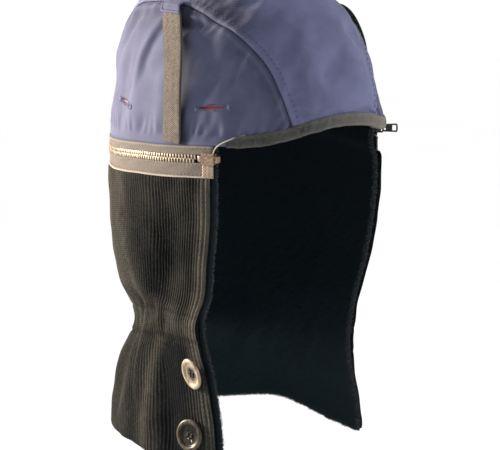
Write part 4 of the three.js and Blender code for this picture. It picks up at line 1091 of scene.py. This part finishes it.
def build_knit():
    """Ribbed knit tube: furrowed ribs, a gathered waist casing, plain sewn front strips."""
    ribs, per_rib, rows = 180, 4, 84
    side = np.linspace(-1, 1, ribs * per_rib + 1)
    height = skirt_heights(side, rows, KNIT_TOP)
    s = side[:, None] + 0 * height
    plain, at = skirt_point(s, height, 0), waist_level(s, height)
    rib = 0.5 + 0.5 * np.cos(s * np.pi * ribs)
    from_edge, from_hem = (1 - np.abs(s)) * HALF_GIRTH, height - height[:, :1]
    strip = smooth(7.0, 5.8, from_edge)
    gather = waves(np.stack([s * 200, height * 0.12, 0 * s], -1), 13, 21) * bump(at + 145, 17)
    casing = smooth(10.5, 9, np.abs(at + 145.5))
    channel = bump(np.abs(at + 145.5) - 9.8, 1.1)
    relief = 0.6 * (rib**0.8 - 0.55) * (1 - 0.75 * strip) + 0.9 * gather + 0.55 * casing - 0.8 * channel
    relief += (0.35 * bump(from_edge - 5.6, 0.8) + 0.45 * bump(from_edge - 2.6, 0.9)
               - 0.35 * bump(from_edge - 4, 0.6))
    relief += 0.3 * smooth(12, 10, from_hem) - 0.5 * bump(from_hem - 11, 0.9) - 0.6 * smooth(1.2, 0, from_hem)
    relief += 0.35 * waves(plain, 20, 8) - 0.5 * smooth(1.5, 0, height[:, -1:] - height)
    fold = small_folds(s, height)
    outer = skirt_point(s, height, fold - relief)
    inner = skirt_point(s, height, KNIT - 0.2 + fold)[:: per_rib * 2, ::4]
    # Rib height, read by the knit's colour as painted shade in the furrows; lower in the waist channel, as
    # painted shade there.
    worn_and_shaded = rib * (1 - strip) + strip * 0.8 + 0.2 * bump(from_edge - 2.6, 1) - 0.5 * channel
    uv = np.stack([s * HALF_GIRTH, height], -1).reshape(-1, 2)
    faces = grid_faces(*s.shape, flip=True)
    piece = make("skirt_knit_ribs", outer.reshape(-1, 3), faces, uv, np.clip(worn_and_shaded, 0, 1))
    degrees = s * either(s < 0, SKIRT, 5, at)
    # Painted light and shade with dusty fluff over the knit, darker towards the back.
    dust_and_lighting = dust_and_lighting_map(degrees, height, from_edge) + 0.12 * waves(plain, 30, 5) - 0.1 * smooth(-60, 0, degrees)
    paint(piece.data, "dust_and_lighting", np.clip(dust_and_lighting, 0, 2))
    back = make("skirt_knit_back", inner.reshape(-1, 3), grid_faces(*inner.shape[:2]))
    knit = knit_material()
    finish(piece, knit, "knit", "skirt_knit")
    finish(back, knit, "knit")
    edge_strips(outer, inner, knit)
    paths = []
    for way in (-1, 1):
        for inset in (2.5, 5.4):
            side = np.full(120, way * (1 - inset / HALF_GIRTH))
            low, high = skirt_heights(side[:1], 2, KNIT_TOP)[0]
            h = low + (high - low) * np.linspace(0.02, 0.98, 120)
            line, ahead = (skirt_point(side, h, depth + small_folds(side, h)) for depth in (-0.45, -1.45))
            paths += stitches(line, ahead - line, 2.3, 1.1)
    olive = thread_material("olive_thread", (0.03, 0.03, 0.024), (0.1, 0.098, 0.08))
    sew("skirt_knit_threads", paths, 0.24, olive, "knit")


def fibres(outer, inner):
    """Loose curled fibres along both front edges and the hem."""
    rng, paths = np.random.default_rng(4), []
    for edge, next_in in ((np.s_[0], np.s_[1]), (np.s_[-1], np.s_[-2]), (np.s_[:, 0], np.s_[:, 1])):
        a, b, away = outer[edge], inner[edge], outer[edge] - outer[next_in]
        for _ in range(len(a) * 14):
            k = rng.integers(1, len(a) - 1)
            t = rng.uniform(0, 1)
            root = a[k] * (1 - t) + b[k] * t + (a[k + 1] - a[k]) * rng.uniform(0, 1)
            out = unit(away[k]) + rng.normal(0, 0.45, 3)
            bend = rng.normal(0, 0.5, 3)
            reach = rng.uniform(0.7, 2.1)
            paths.append(np.array([root, root + unit(out) * reach * 0.55, root + unit(out + bend) * reach]))
    pile = thread_material("fleece_fibre", (0.004, 0.006, 0.008), (0.05, 0.052, 0.054))
    sew("fleece_edge_fibres", paths, 0.19, pile, "fleece", 3)


def build_fleece():
    """Brushed fleece lining: lumpy pile, with loose fibres along its free edges."""
    edge = 1.014
    side = np.linspace(-edge, edge, 250)
    height = skirt_heights(side, 90, FLEECE_TOP)
    s = side[:, None] + 0 * height
    base = skirt_point(s, height, KNIT + 0.4)
    lump = waves(base, 5.5, 31) * 0.28 + waves(base, 2.6, 32) * 0.16
    fold = small_folds(s, height)
    outer = skirt_point(s, height, KNIT + 0.5 + fold)
    inner = skirt_point(s, height, KNIT + 0.4 + FLEECE + (fold + lump))
    free = np.maximum(smooth(edge - 0.02, edge, np.abs(s)), smooth(2.5, 0.5, height - height[:, :1]))
    pushed = unit(np.gradient(outer, axis=0)) * np.sign(s)[..., None]
    rough = (waves(base, 3.2, 33) * 0.5)[..., None] * free[..., None] * pushed
    uv = np.stack([s * 180, height], -1)
    piece = shell("skirt_fleece_pile", outer + rough, inner + rough, free * 0.45, uv)
    finish(piece, fleece_material(), "fleece", "skirt_fleece")
    fibres(outer, inner)


# Straps, tabs and buttons


def build_strap(word, rows, webbing):
    share, across = np.linspace(0, 1, 170)[:, None], np.linspace(-1, 1, 15)[None]
    weft = share * 2 * np.pi * 58
    reach = STRAP_HALF * across + 0.22 * np.sin(weft) * np.sign(across) * (np.abs(across) > 0.9)
    cup = 0.45 * across**2 - 0.12 * np.cos(across * 3 * np.pi)
    ribbing = 0.06 * np.sin(weft + 3 * np.abs(across))
    s = share + 0 * across
    outer = strap_point(rows, s, reach, WEBBING - 0.1 - cup * 0.5 + ribbing)
    inner = strap_point(rows, s, reach, 0.15 - cup * 0.5)
    piece = shell(f"strap_{word}_webbing", outer, inner, smooth(0.82, 0.95, np.abs(across)))
    finish(piece, webbing, "webbing", f"strap_{word}")


def build_tab(word, rows, twill, navy):
    """Twill patch folded over the strap's upper end, with its box of stitches."""
    top = [(0, rows[0][1], TAB_TOP, rows[0][3]), *rows[1:]]
    ends, lift = np.array([-TAB_HALF, TAB_HALF]), WEBBING + 0.6
    place = [strap_point(top, np.zeros(2), ends, 0.5, False)]
    place += [strap_point(rows, np.full(2, down), ends, lift, False) for down in np.linspace(0, 0.1, 4)]
    base = resample(np.array(place), 30, 18)
    out = normals(base)
    x, y = np.linspace(-1, 1, 18)[None], np.linspace(0, 1, 30)[:, None]
    edge = np.minimum((1 - np.abs(x)) * TAB_HALF, (1 - y) * 11 + 0 * x)
    relief = (0.9 + 0.2 * bump(edge - 0.9, 0.7) - 0.25 * bump(edge - 2.2, 0.6) - 0.5 * smooth(0.5, 0, edge)
              + 0.12 * waves(base, 6, 2))[..., None]
    worn_and_shaded = 0.4 * bump(edge - 0.7, 0.7)
    piece = shell(f"strap_tab_{word}_cloth", base + out * relief, base + out * 0.05, worn_and_shaded)
    finish(piece, twill, "twill", f"strap_tab_{word}")
    i = np.array([*range(2, 27), *[26] * 13, *range(25, 1, -1)])
    j = np.array([*[2] * 25, *range(3, 16), *[15] * 24])
    paths = stitches((base + out * (relief + 0.02))[i, j], out[i, j], 2.0, 1.0)
    sew(f"strap_tab_{word}_threads", paths, 0.2, navy, "twill")


def circle(x, y, r, n):
    turn = np.linspace(0, 2 * np.pi, n, endpoint=False)
    return [(x + r * math.cos(a), y + r * math.sin(a)) for a in turn]


def build_button(word, horn, thread):
    side, height, stand, facing, pale_and_lit_from = BUTTONS[word]
    n, last = 56, len(BUTTON_PROFILE) - 2
    points = np.array([(*p, z) for r, z in BUTTON_PROFILE for p in circle(0, 0, r, n)])
    # Pale rim from that radius; on the upper button it starts further in, as painted light.
    worn_and_shaded = np.repeat([(pale_and_lit_from < r) * min(1.0, max(0.0, 0.5 + z)) for r, z in BUTTON_PROFILE], n)
    faces = [*ring_faces(last, n, n).tolist(), range(n, 2 * n)[::-1], range(last * n, (last + 1) * n)]
    centre = skirt_point(np.array([side]), np.array([height]), -stand)[0]
    turn = Vector((0, 0, 1)).rotation_difference(Vector(facing).normalized()).to_matrix()

    def place(p):
        return np.asarray(p, float) @ np.array(turn).T + centre

    piece = make(f"button_{word}_horn", place(points), faces, points[:, :2], worn_and_shaded)
    holes = []
    for a in np.arange(0.5, 4) * math.pi / 2:
        rim = circle(2.5 * math.cos(a), 2.5 * math.sin(a), 1.05, 16)
        holes.append(plug(place([(u, v, z) for z in (-4, 4) for u, v in rim])))
    cut(piece, holes)
    finish(piece, horn, "horn", f"button_{word}")
    x, z = np.array([(-1.9, -0.6), (-1.6, 0.35), (-0.6, 0.75), (0.6, 0.75), (1.6, 0.35), (1.9, -0.6)]).T
    rows = [y + shift for y in (-1.77, 1.77) for shift in (-0.45, 0, 0.45)]
    paths = [place(np.stack([x, np.full(6, row), z], -1)) for row in rows]
    reach = stand + 1.2
    for a in np.linspace(0, 2 * np.pi, 9):
        shank = ((1.5, a, -1.4), (1.1, a + 0.3, -reach / 2), (1.4, a + 0.6, -reach))
        paths.append(place([(r * math.cos(b), r * math.sin(b), down) for r, b, down in shank]))
    sew(f"button_{word}_threads", paths, 0.3, thread, "horn", 6)


# Stage


def build_stage():
    """Pale floor, white surround, two soft side lights and the photograph's camera."""
    scene = bpy.context.scene
    scene.view_settings.view_transform = "Standard"
    mesh = bpy.data.meshes.new("floor")
    corners = [(x * FLOOR_HALF, y * FLOOR_HALF, FLOOR) for x, y in ((-1, -1), (1, -1), (1, 1), (-1, 1))]
    mesh.from_pydata(corners, [], [(0, 1, 2, 3)])
    g = Graph("pale_floor")
    pale = g.ramp(g.noise(900, 2.0), (0.3, (0.97, 0.97, 0.97)), (0.7, (0.99, 0.99, 0.99)))
    mesh.materials.append(g.surface(pale, 0.9))
    added("floor", mesh)
    scene.world = bpy.data.worlds.new("surround")
    scene.world.use_nodes = True
    sky = scene.world.node_tree.nodes["Background"].inputs
    sky["Color"].default_value, sky["Strength"].default_value = (1, 1, 1, 1), AMBIENT
    for name, place, size, power, color in LIGHTS:
        light = bpy.data.lights.new(name, "AREA")
        light.shape, light.size, light.energy, light.color = "DISK", size, power, color
        lamp = added(name, light)
        lamp.location = place
        aim = Vector((0, 0, -0.16)) - Vector(place)
        lamp.rotation_euler = aim.to_track_quat("-Z", "Y").to_euler()
    camera = bpy.data.cameras.new("camera")
    camera.lens, camera.sensor_width = FOCAL * 36 / PICTURE_WIDTH, 36
    camera.clip_start, camera.clip_end = 0.05, 60
    eye = scene.camera = added("camera", camera)
    a, e = math.radians(AZIMUTH), math.radians(ELEVATION)
    back = Vector((math.sin(a) * math.cos(e), -math.cos(a) * math.cos(e), math.sin(e)))
    right = Vector((math.cos(a), math.sin(a), 0))
    eye.location = back * DISTANCE + Vector((0, 0, -ORIGIN[2] * MM))
    look = (-back * FOCAL + right * MIDDLE[0] - back.cross(right) * MIDDLE[1]).normalized()
    eye.rotation_mode = "QUATERNION"
    eye.rotation_quaternion = look.to_track_quat("-Z", "Y")


twill = twill_material("twill_panels", (0.041, 0.044, 0.08), (0.057, 0.061, 0.108))
navy = thread_material("navy_thread", (0.03, 0.033, 0.06), (0.055, 0.059, 0.1))
build_crown(twill, navy)
build_lining()
build_binding()
build_tapes()
build_teeth()
build_fittings()
build_knit()
build_fleece()
tan = weave_material("tan_webbing", (0.01, 0.008, 0.007), (0.215, 0.18, 0.15), 1.5, 1.6, 1.3,
                     (0.05, 0.054, 0.048), 0.25, 1.5)
olive = weave_material("olive_webbing", (0.01, 0.01, 0.009), (0.035, 0.035, 0.031), 2.6, 1.7, 1.0,
                       (0.02, 0.021, 0.019), 0.3)
for word, rows, webbing in (("right", STRAP_RIGHT, tan), ("left", STRAP_LEFT, olive)):
    build_strap(word, rows, webbing)
    build_tab(word, rows, twill, navy)
dark_thread = thread_material("button_thread", (0.02, 0.018, 0.015), (0.09, 0.08, 0.07))
# The upper button's horn is a paler copy of the lower one's: painted light on the button that faces the lamp.
build_button("upper", horn_material("horn_painted_lit", (0.1, 0.078, 0.055), (0.3, 0.25, 0.18)), dark_thread)
build_button("lower", horn_material("dark_horn", (0.018, 0.014, 0.011), (0.075, 0.06, 0.043)), dark_thread)
build_stage()
